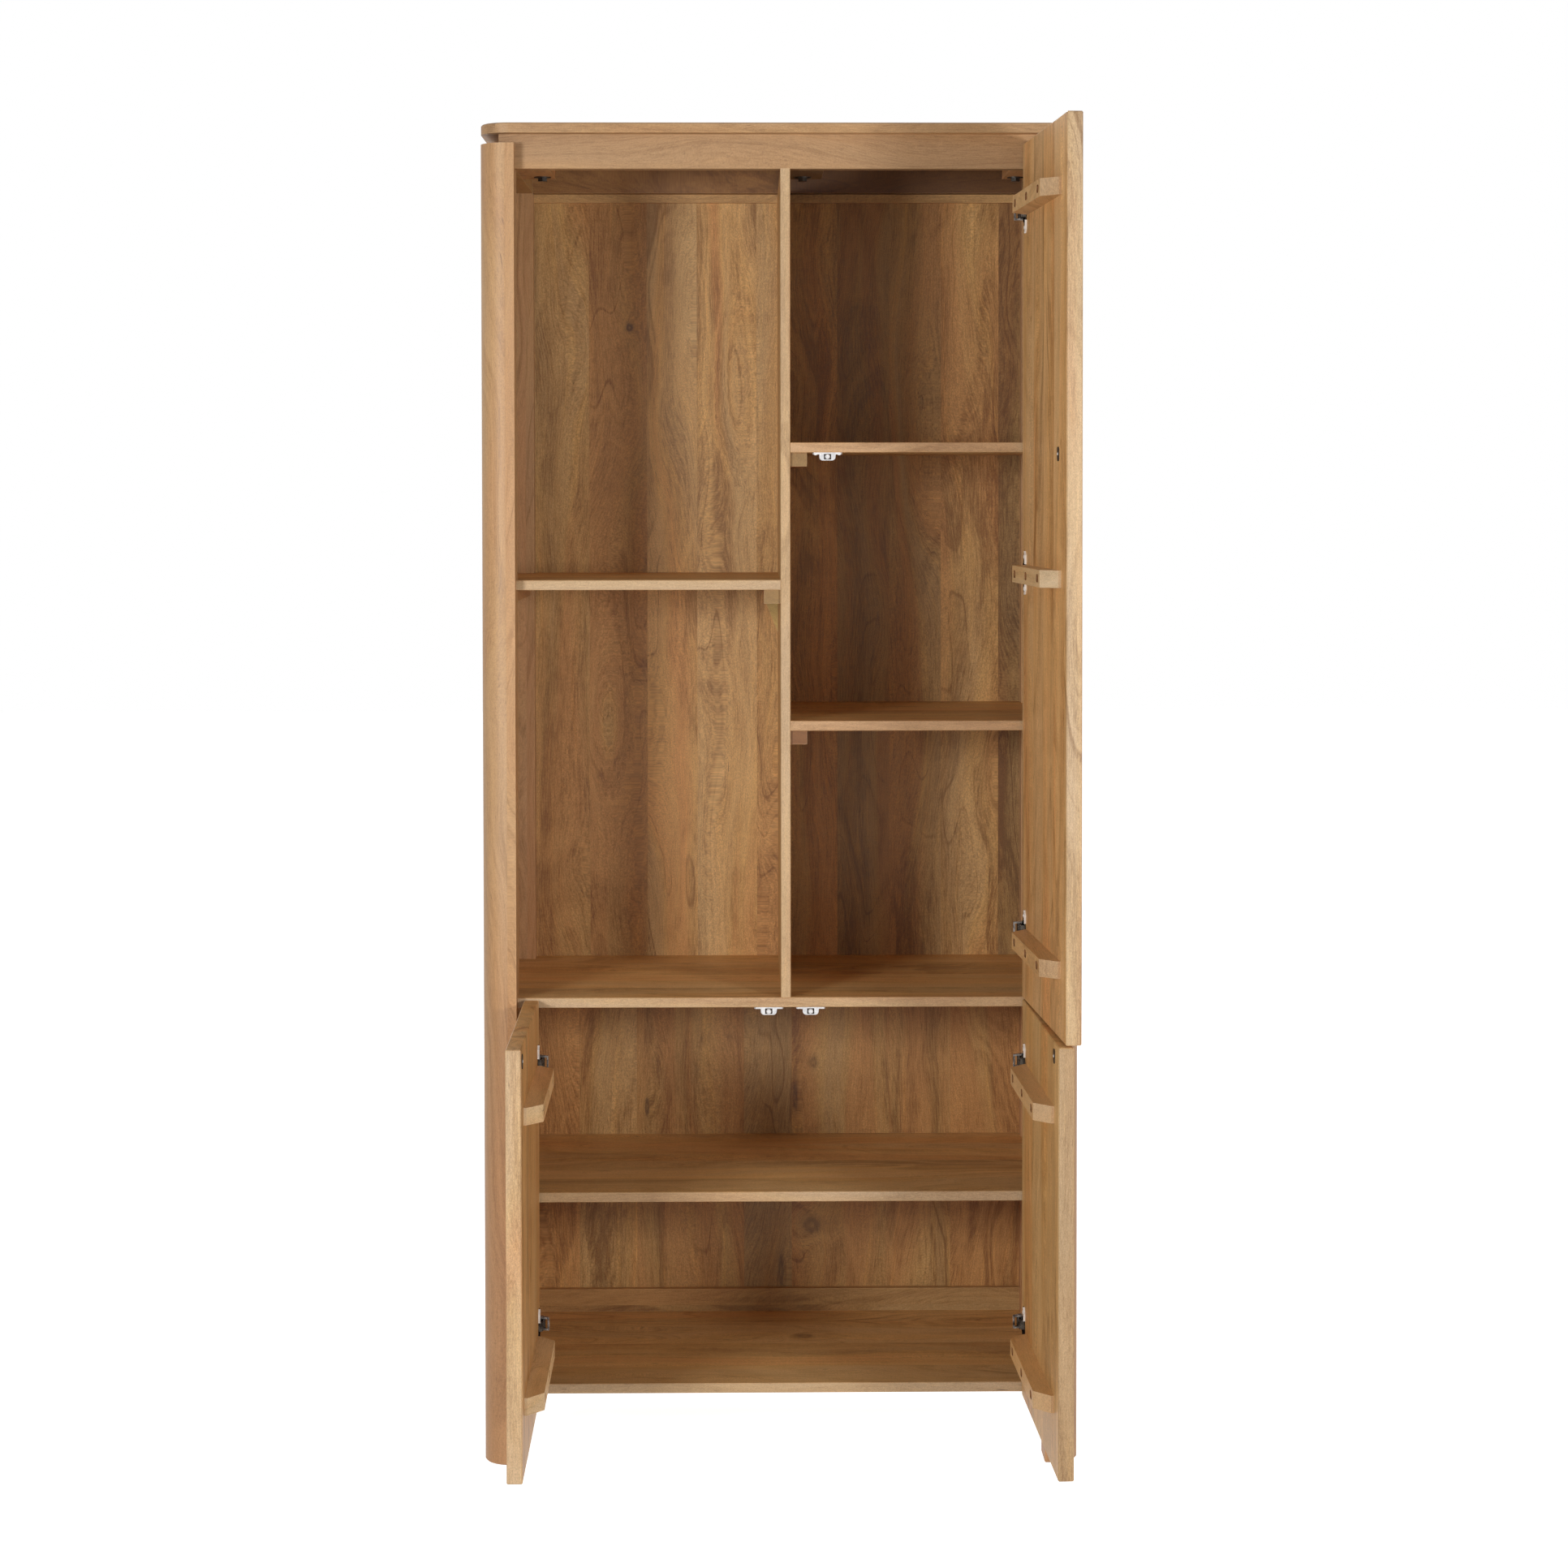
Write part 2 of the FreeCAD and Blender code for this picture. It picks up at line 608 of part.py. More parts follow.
def make_arm(z):
    """Hinge arm on its plate, forked at the tip round the link's eye, with a pin riveted across the fork."""
    foot = V(PLATE_THICKNESS + ARM_FOOT_RISE / 2, (ARM_FOOT_START + ARM_FOOT_END) / 2, 0)
    run = (ARM_PIN - foot).normalize()
    nose = ARM_PIN + run * ARM_NOSE_REACH
    across = V(-run.y, run.x, 0) * ARM_TIP_RADIUS
    z0 = z - ARM_WIDTH / 2
    outline = [
        V(PLATE_THICKNESS, ARM_FOOT_START, 0),
        ARM_PIN - across,
        nose - across * ARM_NOSE_SHARE,
        nose + across * ARM_NOSE_SHARE,
        ARM_PIN + across,
        V(PLATE_THICKNESS + ARM_FOOT_RISE, ARM_FOOT_END, 0),
        V(PLATE_THICKNESS, ARM_FOOT_END, 0),
    ]
    arm = prism([V(p.x, p.y, z0) for p in outline], V(0, 0, ARM_WIDTH))
    reach = ARM_SLOT_REACH
    half = LINK_WIDTH / 2 + ARM_SLOT_FIT
    slot = box(ARM_PIN.x - reach, ARM_PIN.x + reach, ARM_PIN.y - reach, ARM_PIN.y + reach, z - half, z + half)
    return arm.cut(slot).fuse(pin_rod(ARM_PIN, z, half, PIN_RADIUS)).removeSplitter()


def make_plate(z):
    half = PLATE_HEIGHT / 2
    plate = box(0, PLATE_THICKNESS, PLATE_START, ARM_FOOT_END, z - half, z + half)
    return eased(plate, PLATE_CORNER, lambda c, e: along(e, V(1, 0, 0)))


# Touch latches


def make_latch_housing(x, underside):
    """Housing under a board: rounded body, two ears, and a bore for the plunger."""
    z1 = underside
    z0 = z1 - LATCH_HEIGHT
    y0 = LATCH_FRONT
    half = LATCH_WIDTH / 2
    low = LATCH_LOWER_WIDTH / 2
    section = [V(x - half, y0, z1), V(x + half, y0, z1), V(x + low, y0, z0), V(x - low, y0, z0)]
    body = prism(section, V(0, LATCH_LENGTH, 0))
    lower_edges = edges_where(body, lambda c, e: along(e, V(0, 1, 0)) and abs(c.z - z0) < 1e-6)
    body = body.makeFillet(LATCH_CORNER, lower_edges)
    span = LATCH_EAR_SPAN / 2
    ears = box(x - span, x + span, y0, y0 + LATCH_EAR_LENGTH, z1 - LATCH_EAR_THICKNESS, z1)
    ears = eased(ears, LATCH_EAR_CORNER, lambda c, e: along(e, UP))
    axis = V(x, y0, underside - PLUNGER_DROP)
    bore_depth = PLUNGER_TIP + PLUNGER_LENGTH + PLUNGER_TRAVEL + PLUNGER_BORE_SPARE - y0
    housing = body.fuse(ears).removeSplitter()
    housing = housing.cut(rod(PLUNGER_RADIUS + PLUNGER_FIT, axis, V(0, bore_depth, 0)))
    half_mouth = LATCH_MOUTH_WIDTH / 2
    mouth_floor = axis.z - LATCH_MOUTH_HEIGHT / 2
    mouth_top = axis.z + LATCH_MOUTH_HEIGHT / 2
    mouth = box(x - half_mouth, x + half_mouth, y0, y0 + LATCH_MOUTH_DEPTH, mouth_floor, mouth_top)
    return housing.cut(mouth)


def make_plunger(x, underside):
    plunger = rod(PLUNGER_RADIUS, V(x, PLUNGER_TIP, underside - PLUNGER_DROP), V(0, PLUNGER_LENGTH, 0))
    return eased(plunger, PLUNGER_NOSE, lambda c, e: abs(c.y - PLUNGER_TIP) < 1e-6)


# The three doors: side, opening angle, level of the ends, hinges, battens and latch


def upper_places(from_end):
    """Bottom, middle and top places of the hinges or battens on the tall door."""
    bottom = UPPER_DOOR_BOTTOM + from_end
    top = POST_TOP - from_end
    return (bottom, (bottom + top) / 2, top)


def lower_places(from_bottom, from_top):
    """Bottom and top places of the hinges or battens on a low door."""
    return (LOWER_DOOR_BOTTOM + from_bottom, LOWER_DOOR_TOP - from_top)


UPPER_HINGES = upper_places(UPPER_HINGE_FROM_END)
UPPER_BATTENS = upper_places(UPPER_BATTEN_FROM_END)
LOWER_HINGES = lower_places(LOWER_HINGE_FROM_BOTTOM, LOWER_HINGE_FROM_TOP)
LOWER_BATTENS = lower_places(LOWER_BATTEN_FROM_BOTTOM, LOWER_BATTEN_FROM_TOP)

DOORS = {
    "upper_right_door": {
        "side": 1,
        "open": UPPER_RIGHT_OPEN,
        "ends": (UPPER_DOOR_BOTTOM, POST_TOP),
        "hinges": UPPER_HINGES,
        "battens": dict(zip(("bottom", "middle", "top"), UPPER_BATTENS)),
        "latch_x": UPPER_LATCH_X,
        "latch_board": UPPER_RIGHT_SHELF_TOP - SHELF_THICKNESS,
    },
    "lower_left_door": {
        "side": -1,
        "open": LOWER_LEFT_OPEN,
        "ends": (LOWER_DOOR_BOTTOM, LOWER_DOOR_TOP),
        "hinges": LOWER_HINGES,
        "battens": dict(zip(("bottom", "top"), LOWER_BATTENS)),
        "latch_x": LOWER_LEFT_LATCH_X,
        "latch_board": MID_UNDERSIDE,
    },
    "lower_right_door": {
        "side": 1,
        "open": LOWER_RIGHT_OPEN,
        "ends": (LOWER_DOOR_BOTTOM, LOWER_DOOR_TOP),
        "hinges": LOWER_HINGES,
        "battens": dict(zip(("bottom", "top"), LOWER_BATTENS)),
        "latch_x": LOWER_RIGHT_LATCH_X,
        "latch_board": MID_UNDERSIDE,
    },
}


def door_pieces(name):
    """Nodes of one door at its resting place: panel, battens, strike, cups, cup pins and links."""
    door = DOORS[name]
    side = door["side"]
    angle = door["open"]
    pieces = {name: [make_door_panel(*door["ends"], door["hinges"])]}
    for place, z in door["battens"].items():
        pieces[name + "_" + place + "_batten"] = [make_batten(z)]
    strike_x = POST_INNER - side * door["latch_x"]
    pieces[name + "_strike"] = [make_strike(strike_x, door["latch_board"] - PLUNGER_DROP)]
    pieces[name + "_hinge_cups"] = [make_cup(z) for z in door["hinges"]]
    half = cup_pin_half_length()
    pieces[name + "_cup_pins"] = [pin_rod(CUP_PIN, z, half, PIN_RADIUS) for z in door["hinges"]]
    placed = {node: [hung(swung(s, angle), side) for s in solids] for node, solids in pieces.items()}
    links = [make_link(z) for z in door["hinges"]]
    placed[name + "_hinge_links"] = [hung(link_swung(s, angle), side) for s in links]
    return placed


def hinge_seats(make):
    """One fixed hinge piece per hinge, on the posts."""
    return [hung(make(z), door["side"]) for door in DOORS.values() for z in door["hinges"]]


def latch_name(door_name):
    return door_name.replace("_door", "_latch")


def build():
    """All nodes of the cupboard, by name, each a list of separate solids."""
    left_end = notched_end(-1)
    right_end = notched_end(1)
    left_under = LEFT_SHELF_TOP - SHELF_THICKNESS
    upper_under = UPPER_RIGHT_SHELF_TOP - SHELF_THICKNESS
    middle_under = MIDDLE_RIGHT_SHELF_TOP - SHELF_THICKNESS
    lower_under = LOWER_SHELF_TOP - SHELF_THICKNESS
    divider_start = straight_end(DIVIDER_LEFT_FACE)
    divider_end = straight_end(DIVIDER_RIGHT_FACE)
    nodes = {
        "top_panel": [make_top()],
        "neck_front_rail": [make_cross_rail(BOARD_FRONT)],
        "neck_back_rail": [make_cross_rail(NECK_BACK_FRONT)],
        "neck_left_rail": [make_side_rail(-1)],
        "neck_right_rail": [make_side_rail(1)],
        "front_left_post": [make_post(-1, False)],
        "front_right_post": [make_post(1, False)],
        "rear_left_post": [make_post(-1, True)],
        "rear_right_post": [make_post(1, True)],
        "left_side_panel": [make_side_panel(-1)],
        "right_side_panel": [make_side_panel(1)],
        "back_panel": [make_back_panel()],
        "back_top_rail": [make_back_rail(CEILING - BACK_TOP_RAIL_DROP, POST_TOP)],
        "back_bottom_rail": [make_back_rail(BOTTOM_TOP, BOTTOM_TOP + BACK_BOTTOM_RAIL_HEIGHT)],
        "bottom_panel": [make_board(left_end, right_end, BOTTOM_TOP, BOTTOM_THICKNESS)],
        "mid_panel": [make_board(left_end, right_end, MID_TOP, MID_THICKNESS)],
        "lower_shelf": [make_board(left_end, right_end, LOWER_SHELF_TOP, SHELF_THICKNESS)],
        "left_shelf": [make_board(left_end, divider_start, LEFT_SHELF_TOP, SHELF_THICKNESS)],
        "upper_right_shelf": [make_board(divider_end, right_end, UPPER_RIGHT_SHELF_TOP, SHELF_THICKNESS)],
        "middle_right_shelf": [make_board(divider_end, right_end, MIDDLE_RIGHT_SHELF_TOP, SHELF_THICKNESS)],
        "divider": [make_divider()],
        "left_shelf_cleats": [
            make_side_cleat(-1, left_under),
            make_divider_cleat(-1, left_under),
            make_gusset(left_under),
        ],
        "upper_right_shelf_cleats": [make_side_cleat(1, upper_under), make_divider_cleat(1, upper_under)],
        "middle_right_shelf_cleats": [make_side_cleat(1, middle_under), make_divider_cleat(1, middle_under)],
        "lower_shelf_cleats": [make_side_cleat(side, lower_under) for side in (-1, 1)],
        "ceiling_blocks": make_blocks(),
        "top_washers": make_washers(),
        "top_bolts": make_bolts(),
        "hinge_plates": hinge_seats(make_plate),
        "hinge_arms": hinge_seats(make_arm),
    }
    for name, door in DOORS.items():
        nodes.update(door_pieces(name))
        latch = latch_name(name)
        nodes[latch + "_housing"] = [make_latch_housing(door["latch_x"], door["latch_board"])]
        nodes[latch + "_plunger"] = [make_plunger(door["latch_x"], door["latch_board"])]
    return nodes


def origin_shift(nodes):
    """Move along y that puts the origin under the middle of the cupboard with its doors open at rest."""
    boxes = [solid.optimalBoundingBox(False) for solids in nodes.values() for solid in solids]
    return -(min(b.YMin for b in boxes) + max(b.YMax for b in boxes)) / 2


NODES = build()
SHIFT = origin_shift(NODES)

for node, solids in NODES.items():
    for solid in solids:
        solid.translate(V(0, SHIFT, 0))
    shape = solids[0] if len(solids) == 1 else Part.makeCompound(solids)
    shape.exportStep("parts/" + node + ".step")

print(len(NODES), "nodes,", "front of the posts at y =", round(SHIFT, 3))
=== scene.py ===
"""Dressed tall cupboard: woods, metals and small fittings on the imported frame, with stage and camera."""

import math

import bmesh
import bpy
from mathutils import Matrix, Vector


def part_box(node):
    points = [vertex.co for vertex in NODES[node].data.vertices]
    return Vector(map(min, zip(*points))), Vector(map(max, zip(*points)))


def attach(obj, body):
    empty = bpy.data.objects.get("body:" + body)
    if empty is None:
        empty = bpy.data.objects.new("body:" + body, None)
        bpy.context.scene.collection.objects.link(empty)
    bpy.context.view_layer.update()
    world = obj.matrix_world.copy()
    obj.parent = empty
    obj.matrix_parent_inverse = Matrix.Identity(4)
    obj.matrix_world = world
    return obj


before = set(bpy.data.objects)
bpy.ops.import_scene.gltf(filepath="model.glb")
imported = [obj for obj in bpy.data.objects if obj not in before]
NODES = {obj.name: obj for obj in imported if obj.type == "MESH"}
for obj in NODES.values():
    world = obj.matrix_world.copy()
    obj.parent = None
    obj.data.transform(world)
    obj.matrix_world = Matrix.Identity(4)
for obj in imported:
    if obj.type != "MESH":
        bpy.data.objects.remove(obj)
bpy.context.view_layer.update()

DOORS = ("upper_right_door", "lower_left_door", "lower_right_door")
LATCHES = ("upper_right_latch", "lower_left_latch", "lower_right_latch")
UP = Vector((0, 0, 1))
WHITE = (1.0, 1.0, 1.0, 1.0)

# Camera, in metres, radians and pixels of the square picture
PICTURE_SIZE = 1932
FOCAL_PIXELS = 3623.557
AXIS_ROW = 700.0
SENSOR_WIDTH = 36.0
CAMERA_PLACE = Vector((-0.04955, -4.44339, 1.47352))
CAMERA_PITCH = 0.02702
CAMERA_YAW = -0.01236
CAMERA_ROLL = -0.00104

# Lamps: place, width and height in metres, power in watts
LAMPS = {
    "left_lamp": (Vector((-2.08, -3.4, 1.6)), 0.8, 0.6, 80.0),
    "right_lamp": (Vector((1.9, -2.9, 1.4)), 0.55, 0.45, 49.0),
    "rear_lamp": (Vector((0.9, 3.6, 2.3)), 1.0, 0.8, 75.0),
}
LAMP_AIM = Vector((0.0, 0.0, 1.2))

# Light from all around, as a share of white
AMBIENT = 0.18

# Floor: width in metres, colour, roughness and how strongly it glows to show white
FLOOR_SIZE = 30.0
FLOOR_COLOUR = (0.8, 0.8, 0.8, 1.0)
FLOOR_ROUGHNESS = 0.9
FLOOR_GLOW = 0.88


def srgb(red, green, blue):
    """Linear colour of an sRGB colour given from 0 to 255."""
    linear = []
    for value in (red, green, blue):
        c = value / 255
        linear.append(c / 12.92 if c <= 0.04045 else ((c + 0.055) / 1.055) ** 2.4)
    return (*linear, 1.0)


# Shares of a wood's middle colour in the dark, middle and light of its figure
FIGURE_SPREAD = ((0.76, 0.7, 0.62), (1.0, 1.0, 1.0), (1.1, 1.13, 1.18))


def shades(red, green, blue, strength=1.0):
    """Dark, middle and light colours of a wood, from its middle sRGB colour.
    Less strength makes them more alike."""
    colours = []
    for spread in FIGURE_SPREAD:
        r, g, b = (1 + (share - 1) * strength for share in spread)
        colours.append(srgb(red * r, green * g, blue * b))
    return colours


# Middle colours of the woods; a door has one for its faces and one for its edges
BACK = shades(174, 136, 86)
BOARD = shades(203, 161, 105)
POST = shades(185, 145, 102)
RAIL = shades(173, 134, 92)
TOP = shades(190, 146, 98)
TOP_RAIL = shades(200, 155, 98)
# The neck's back rail is darker and redder than the back: its own tone and painted shade under the top
NECK_BACK = shades(146, 103, 56)
BATTEN = shades(205, 162, 109)
PALE_BATTEN = shades(216, 178, 128)
CLEAT = shades(178, 130, 84)
CLEAT_END = shades(138, 105, 59, 0.8)
RED_CLEAT_END = shades(118, 75, 34, 0.8)
BATTEN_END = shades(188, 153, 114, 0.8)
PALE_BATTEN_END = shades(212, 182, 142, 0.8)
SHELF_EDGE = shades(190, 159, 122, 0.65)
UPPER_RIGHT_DOOR = (shades(209, 162, 107), shades(190, 159, 122, 0.9))
LOWER_LEFT_DOOR = (shades(198, 152, 97), shades(195, 162, 123, 0.7))
LOWER_RIGHT_DOOR = (shades(204, 160, 102), shades(168, 135, 96))

# Tints of a wood where its hue drifts from greyish to reddish
HUE_TINTS = (
    (0.36, (0.94, 0.98, 1.04, 1.0)),
    (0.46, (1.0, 1.0, 1.0, 1.0)),
    (0.54, (1.05, 1.02, 0.91, 1.0)),
    (0.64, (1.02, 0.87, 0.75, 1.0)),
)

# Tints of pale streaks, painted shade on half a rail and at the posts' feet, painted light on cleats'
# gussets
STREAK_TINT = (1.13, 1.12, 1.06, 1.0)
SHADED_TINT = (0.45, 0.38, 0.25, 1.0)
POST_FOOT_SHADE = (0.92, 0.8, 0.72, 1.0)
PAINTED_GUSSET_LIGHT = (1.9, 2.4, 2.6, 1.0)

# Colours of dark marks and of rubbed edges
FLECK_COLOUR = srgb(70, 42, 24)
WORN_COLOUR = srgb(222, 186, 142)


class Graph:
    """Adds nodes to a tree. An input is given a number, a colour, a vector or another node's output."""

    def __init__(self, tree):
        self.tree = tree

    def give(self, socket, value):
        if isinstance(value, bpy.types.NodeSocket):
            self.tree.links.new(value, socket)
        else:
            socket.default_value = value

    def add(self, kind, inputs=None, **settings):
        node = self.tree.nodes.new(kind)
        for key, value in settings.items():
            setattr(node, key, value)
        for key, value in (inputs or {}).items():
            self.give(node.inputs[key], value)
        return node

    def math(self, operation, *values):
        return self.add("ShaderNodeMath", dict(enumerate(values)), operation=operation).outputs[0]

    def vector(self, operation, *values):
        node = self.add("ShaderNodeVectorMath", dict(enumerate(values)), operation=operation)
        return node.outputs["Value" if operation in ("LENGTH", "DOT_PRODUCT") else "Vector"]

    def split(self, vector):
        return self.add("ShaderNodeSeparateXYZ", {0: vector}).outputs

    def join(self, x, y, z):
        return self.add("ShaderNodeCombineXYZ", {0: x, 1: y, 2: z}).outputs[0]

    def noise(self, vector, detail=2.0, roughness=0.5):
        inputs = {"Vector": vector, "Scale": 1.0, "Detail": detail, "Roughness": roughness}
        return self.add("ShaderNodeTexNoise", inputs).outputs[0]

    def noise_line(self, place, detail=2.0, roughness=0.5):
        inputs = {"W": place, "Scale": 1.0, "Detail": detail, "Roughness": roughness}
        return self.add("ShaderNodeTexNoise", inputs, noise_dimensions="1D").outputs[0]

    def remap(self, value, low, high, to_low=0.0, to_high=1.0):
        inputs = {0: value, 1: low, 2: high, 3: to_low, 4: to_high}
        return self.add("ShaderNodeMapRange", inputs, interpolation_type="SMOOTHSTEP").outputs[0]

    def mix(self, factor, first, second, blend="MIX"):
        inputs = {0: factor, 6: first, 7: second}
        return self.add("ShaderNodeMix", inputs, data_type="RGBA", blend_type=blend).outputs[2]

    def ramp(self, factor, stops, interpolation="LINEAR"):
        node = self.add("ShaderNodeValToRGB", {0: factor})
        node.color_ramp.interpolation = interpolation
        elements = node.color_ramp.elements
        while len(elements) < len(stops):
            elements.new(1.0)
        for element, (place, colour) in zip(elements, stops):
            element.position = place
            element.color = colour
        return node.outputs[0]


def new_material(name):
    material = bpy.data.materials.new(name)
    material.use_nodes = True
    graph = Graph(material.node_tree)
    shader = next(n for n in material.node_tree.nodes if n.type == "BSDF_PRINCIPLED")
    return material, graph, shader


# Figure of a plank, with the grain along z and the plank's face across x

# How far apart the patterns of the planks lie, and where their rings start
SEED_SPREAD = (37.0, 37.0, 37.0)
RING_START_SPREAD = 61.0

# Bends of the grain: scale across and along the grain, and how far they reach
WANDER_SCALE = (5.0, 1.2)
WANDER_REACH = 0.22
SWAY_SCALE = (16.0, 3.4)
SWAY_REACH = 0.04
SWAY_DEPTH = 0.06

# Heart of the trunk as seen from the plank: how far aside, how deep and how leaning it lies
HEART_ASIDE = 0.08
HEART_LEAN = 0.2
HEART_DEPTH = 0.01
HEART_DEPTH_SPREAD = 0.05
PLANK_DEPTH_SHARE = 0.5

# Rings and dark lines per metre from the heart, and where the dark lines show
RING_RATE = 95.0
RING_DETAIL = 4.0
RING_ROUGHNESS = 0.6
LINE_RATE = 64.0
LINE_WIDTH = 0.03
LINE_SCALE = (9.0, 2.0)
LINE_FADE = (0.44, 0.62)

# Patterns that flow with the grain: scale across and along it, detail, roughness
FLOWING = {
    "Band": (19.0, 0.8, 2.5, 0.5),
    "Warmth": (13.0, 0.9, 2.0, 0.5),
    "Curl": (20.0, 150.0, 2.0, 0.6),
    "Streak": (120.0, 2.0, 3.0, 0.6),
    "Fibre": (500.0, 34.0, 3.0, 0.65),
    "Grit": (900.0, 420.0, 1.0, 0.5),
    "Pore": (1000.0, 110.0, 1.0, 0.5),
    "Fleck": (210.0, 20.0, 1.0, 0.5),
}

# Levels of these patterns between which a mark comes in
FADES = {"Streak": (0.54, 0.72), "Pore": (0.62, 0.74), "Fleck": (0.77, 0.82)}


def make_figure_group():
    """Node group with the rings, dark lines, colour bands, curl, fibres and pores of a plank."""
    tree = bpy.data.node_groups.new("wood_figure", "ShaderNodeTree")
    for name, kind in (("Place", "Vector"), ("Seed", "Vector"), ("Swell", "Float")):
        tree.interface.new_socket(name, in_out="INPUT", socket_type="NodeSocket" + kind)
    for name in ("Rings", "Line", *FLOWING):
        tree.interface.new_socket(name, in_out="OUTPUT", socket_type="NodeSocketFloat")
    graph = Graph(tree)
    given = graph.add("NodeGroupInput").outputs
    seed = graph.split(given["Seed"])
    apart = graph.vector("MULTIPLY", given["Seed"], SEED_SPREAD)
    x, y, z = graph.split(given["Place"])

    def field(place, across, along):
        return graph.vector("ADD", graph.vector("MULTIPLY", place, (across, across, along)), apart)

    def centred(value):
        return graph.math("SUBTRACT", value, 0.5)

    wander = centred(graph.noise(field(given["Place"], *WANDER_SCALE)))
    sway = centred(graph.noise(field(given["Place"], *SWAY_SCALE), detail=1.0))
    bent = graph.math("MULTIPLY_ADD", wander, WANDER_REACH, x)
    bent = graph.math("MULTIPLY_ADD", sway, SWAY_REACH, bent)
    aside = graph.math("MULTIPLY_ADD", centred(seed[0]), HEART_ASIDE, bent)
    lean = graph.math("MULTIPLY", centred(seed[2]), HEART_LEAN)
    deep = graph.math("MULTIPLY_ADD", z, lean, graph.math("MULTIPLY", y, PLANK_DEPTH_SHARE))
    deep = graph.math("ADD", deep, graph.math("MULTIPLY_ADD", seed[1], HEART_DEPTH_SPREAD, HEART_DEPTH))
    deep = graph.math("MULTIPLY_ADD", sway, SWAY_DEPTH, deep)
    radius = graph.math("ADD", graph.vector("LENGTH", graph.join(aside, deep, 0.0)), given["Swell"])
    start = graph.math("MULTIPLY", seed[1], RING_START_SPREAD)
    ring_place = graph.math("MULTIPLY_ADD", radius, RING_RATE, start)
    rings = graph.noise_line(ring_place, RING_DETAIL, RING_ROUGHNESS)
    line_place = graph.math("MULTIPLY_ADD", radius, LINE_RATE, start)
    contour = centred(graph.noise_line(line_place, detail=1.0))
    line = graph.remap(graph.math("ABSOLUTE", contour), 0.0, LINE_WIDTH, 1.0, 0.0)
    shown = graph.remap(graph.noise(field(given["Place"], *LINE_SCALE)), *LINE_FADE)

    result = graph.add("NodeGroupOutput").inputs
    graph.give(result["Rings"], rings)
    graph.give(result["Line"], graph.math("MULTIPLY", line, shown))
    flow = graph.join(graph.math("ADD", bent, given["Swell"]), y, z)
    for name, (across, along, detail, roughness) in FLOWING.items():
        pattern = graph.noise(field(flow, across, along), detail, roughness)
        if name in FADES:
            pattern = graph.remap(pattern, *FADES[name])
        graph.give(result[name], pattern)
    return tree


FIGURE = make_figure_group()

# Woods

# How strongly each part of the figure lightens or, below zero, darkens the wood, and where the shades lie
FIGURE_WEIGHTS = (("Rings", 0.8), ("Line", -0.28), ("Band", 1.1), ("Curl", 0.14), ("Fibre", 1.15))
RAMP_PLACES = (0.12, 0.5, 0.88)
GRIT_CONTRAST = 0.9
PORE_DARKNESS = 0.22
FLECK_DARKNESS = 0.6

# Share of a plank's width by which even planks are shifted from the middle
PLANK_SHIFT = 0.37

# How far a face has to look to the front or the back to take the edge colours
EDGE_FACING = (0.55, 0.8)

# Surface: roughness, its rise on the fibres and fall on rubbed edges, and the relief of fibres and pores
WOOD_ROUGHNESS = 0.38
FIBRE_ROUGHNESS = 0.22
WORN_ROUGHNESS = -0.1
PORE_HEIGHT = -0.6
WOOD_BUMP = {"Strength": 0.16, "Distance": 0.0004}

# Rubbed edges: radius in metres, bend between which they come in, strength
WEAR_RADIUS = 0.0018
WEAR_SAMPLES = 4
WEAR_BEND = (0.02, 0.2)
WEAR_STRENGTH = 0.35

# Knots: scale of their ragged outline, then distances from the middle in shares of their size
KNOT_OUTLINE_SCALE = (160.0, 60.0)
KNOT_RAGGEDNESS = 0.8
KNOT_BEND_END = 4.5
KNOT_RING = 0.7
KNOT_RING_FADE = (0.1, 0.6)
KNOT_RING_DARKNESS = 0.4
KNOT_CORE_FADE = (0.5, 2.4)
KNOT_CORE_DARKNESS = 0.6


def even_planks(graph, spot, across, width):
    """Middle and random seed of each plank of a glued-up board with planks of one width."""
    number = graph.math("FLOOR", graph.math("MULTIPLY_ADD", spot[across], 1 / width, PLANK_SHIFT))
    seed = graph.add("ShaderNodeTexWhiteNoise", {"W": number}, noise_dimensions="1D").outputs["Color"]
    return graph.math("MULTIPLY_ADD", number, width, (0.5 - PLANK_SHIFT) * width), seed


def knot_fields(graph, across, along, knots):
    """Bend of the rings round the knots, and the dark hearts of the knots."""
    swell = 0.0
    heart = 0.0
    scaled = [graph.math("MULTIPLY", v, scale) for v, scale in zip((across, along), KNOT_OUTLINE_SCALE)]
    outline = graph.noise(graph.join(*scaled, 0.0))
    ragged = graph.math("MULTIPLY_ADD", outline, KNOT_RAGGEDNESS, -KNOT_RAGGEDNESS / 2)
    for x, z, size, length, darkness, bend in knots:
        dx = graph.math("MULTIPLY", graph.math("SUBTRACT", across, x), 1 / size)
        dz = graph.math("MULTIPLY", graph.math("SUBTRACT", along, z), 1 / length)
        far = graph.math("ADD", graph.vector("LENGTH", graph.join(dx, dz, 0.0)), ragged)
        swell = graph.math("ADD", swell, graph.remap(far, 0.0, KNOT_BEND_END, bend, 0.0))
        off_ring = graph.math("ABSOLUTE", graph.math("SUBTRACT", far, KNOT_RING))
        ring = graph.remap(off_ring, *KNOT_RING_FADE, KNOT_RING_DARKNESS, 0.0)
        core = graph.remap(far, *KNOT_CORE_FADE, KNOT_CORE_DARKNESS, 0.0)
        knot = graph.math("MULTIPLY", graph.math("ADD", ring, core), darkness)
        heart = graph.math("MAXIMUM", heart, knot)
    return swell, heart


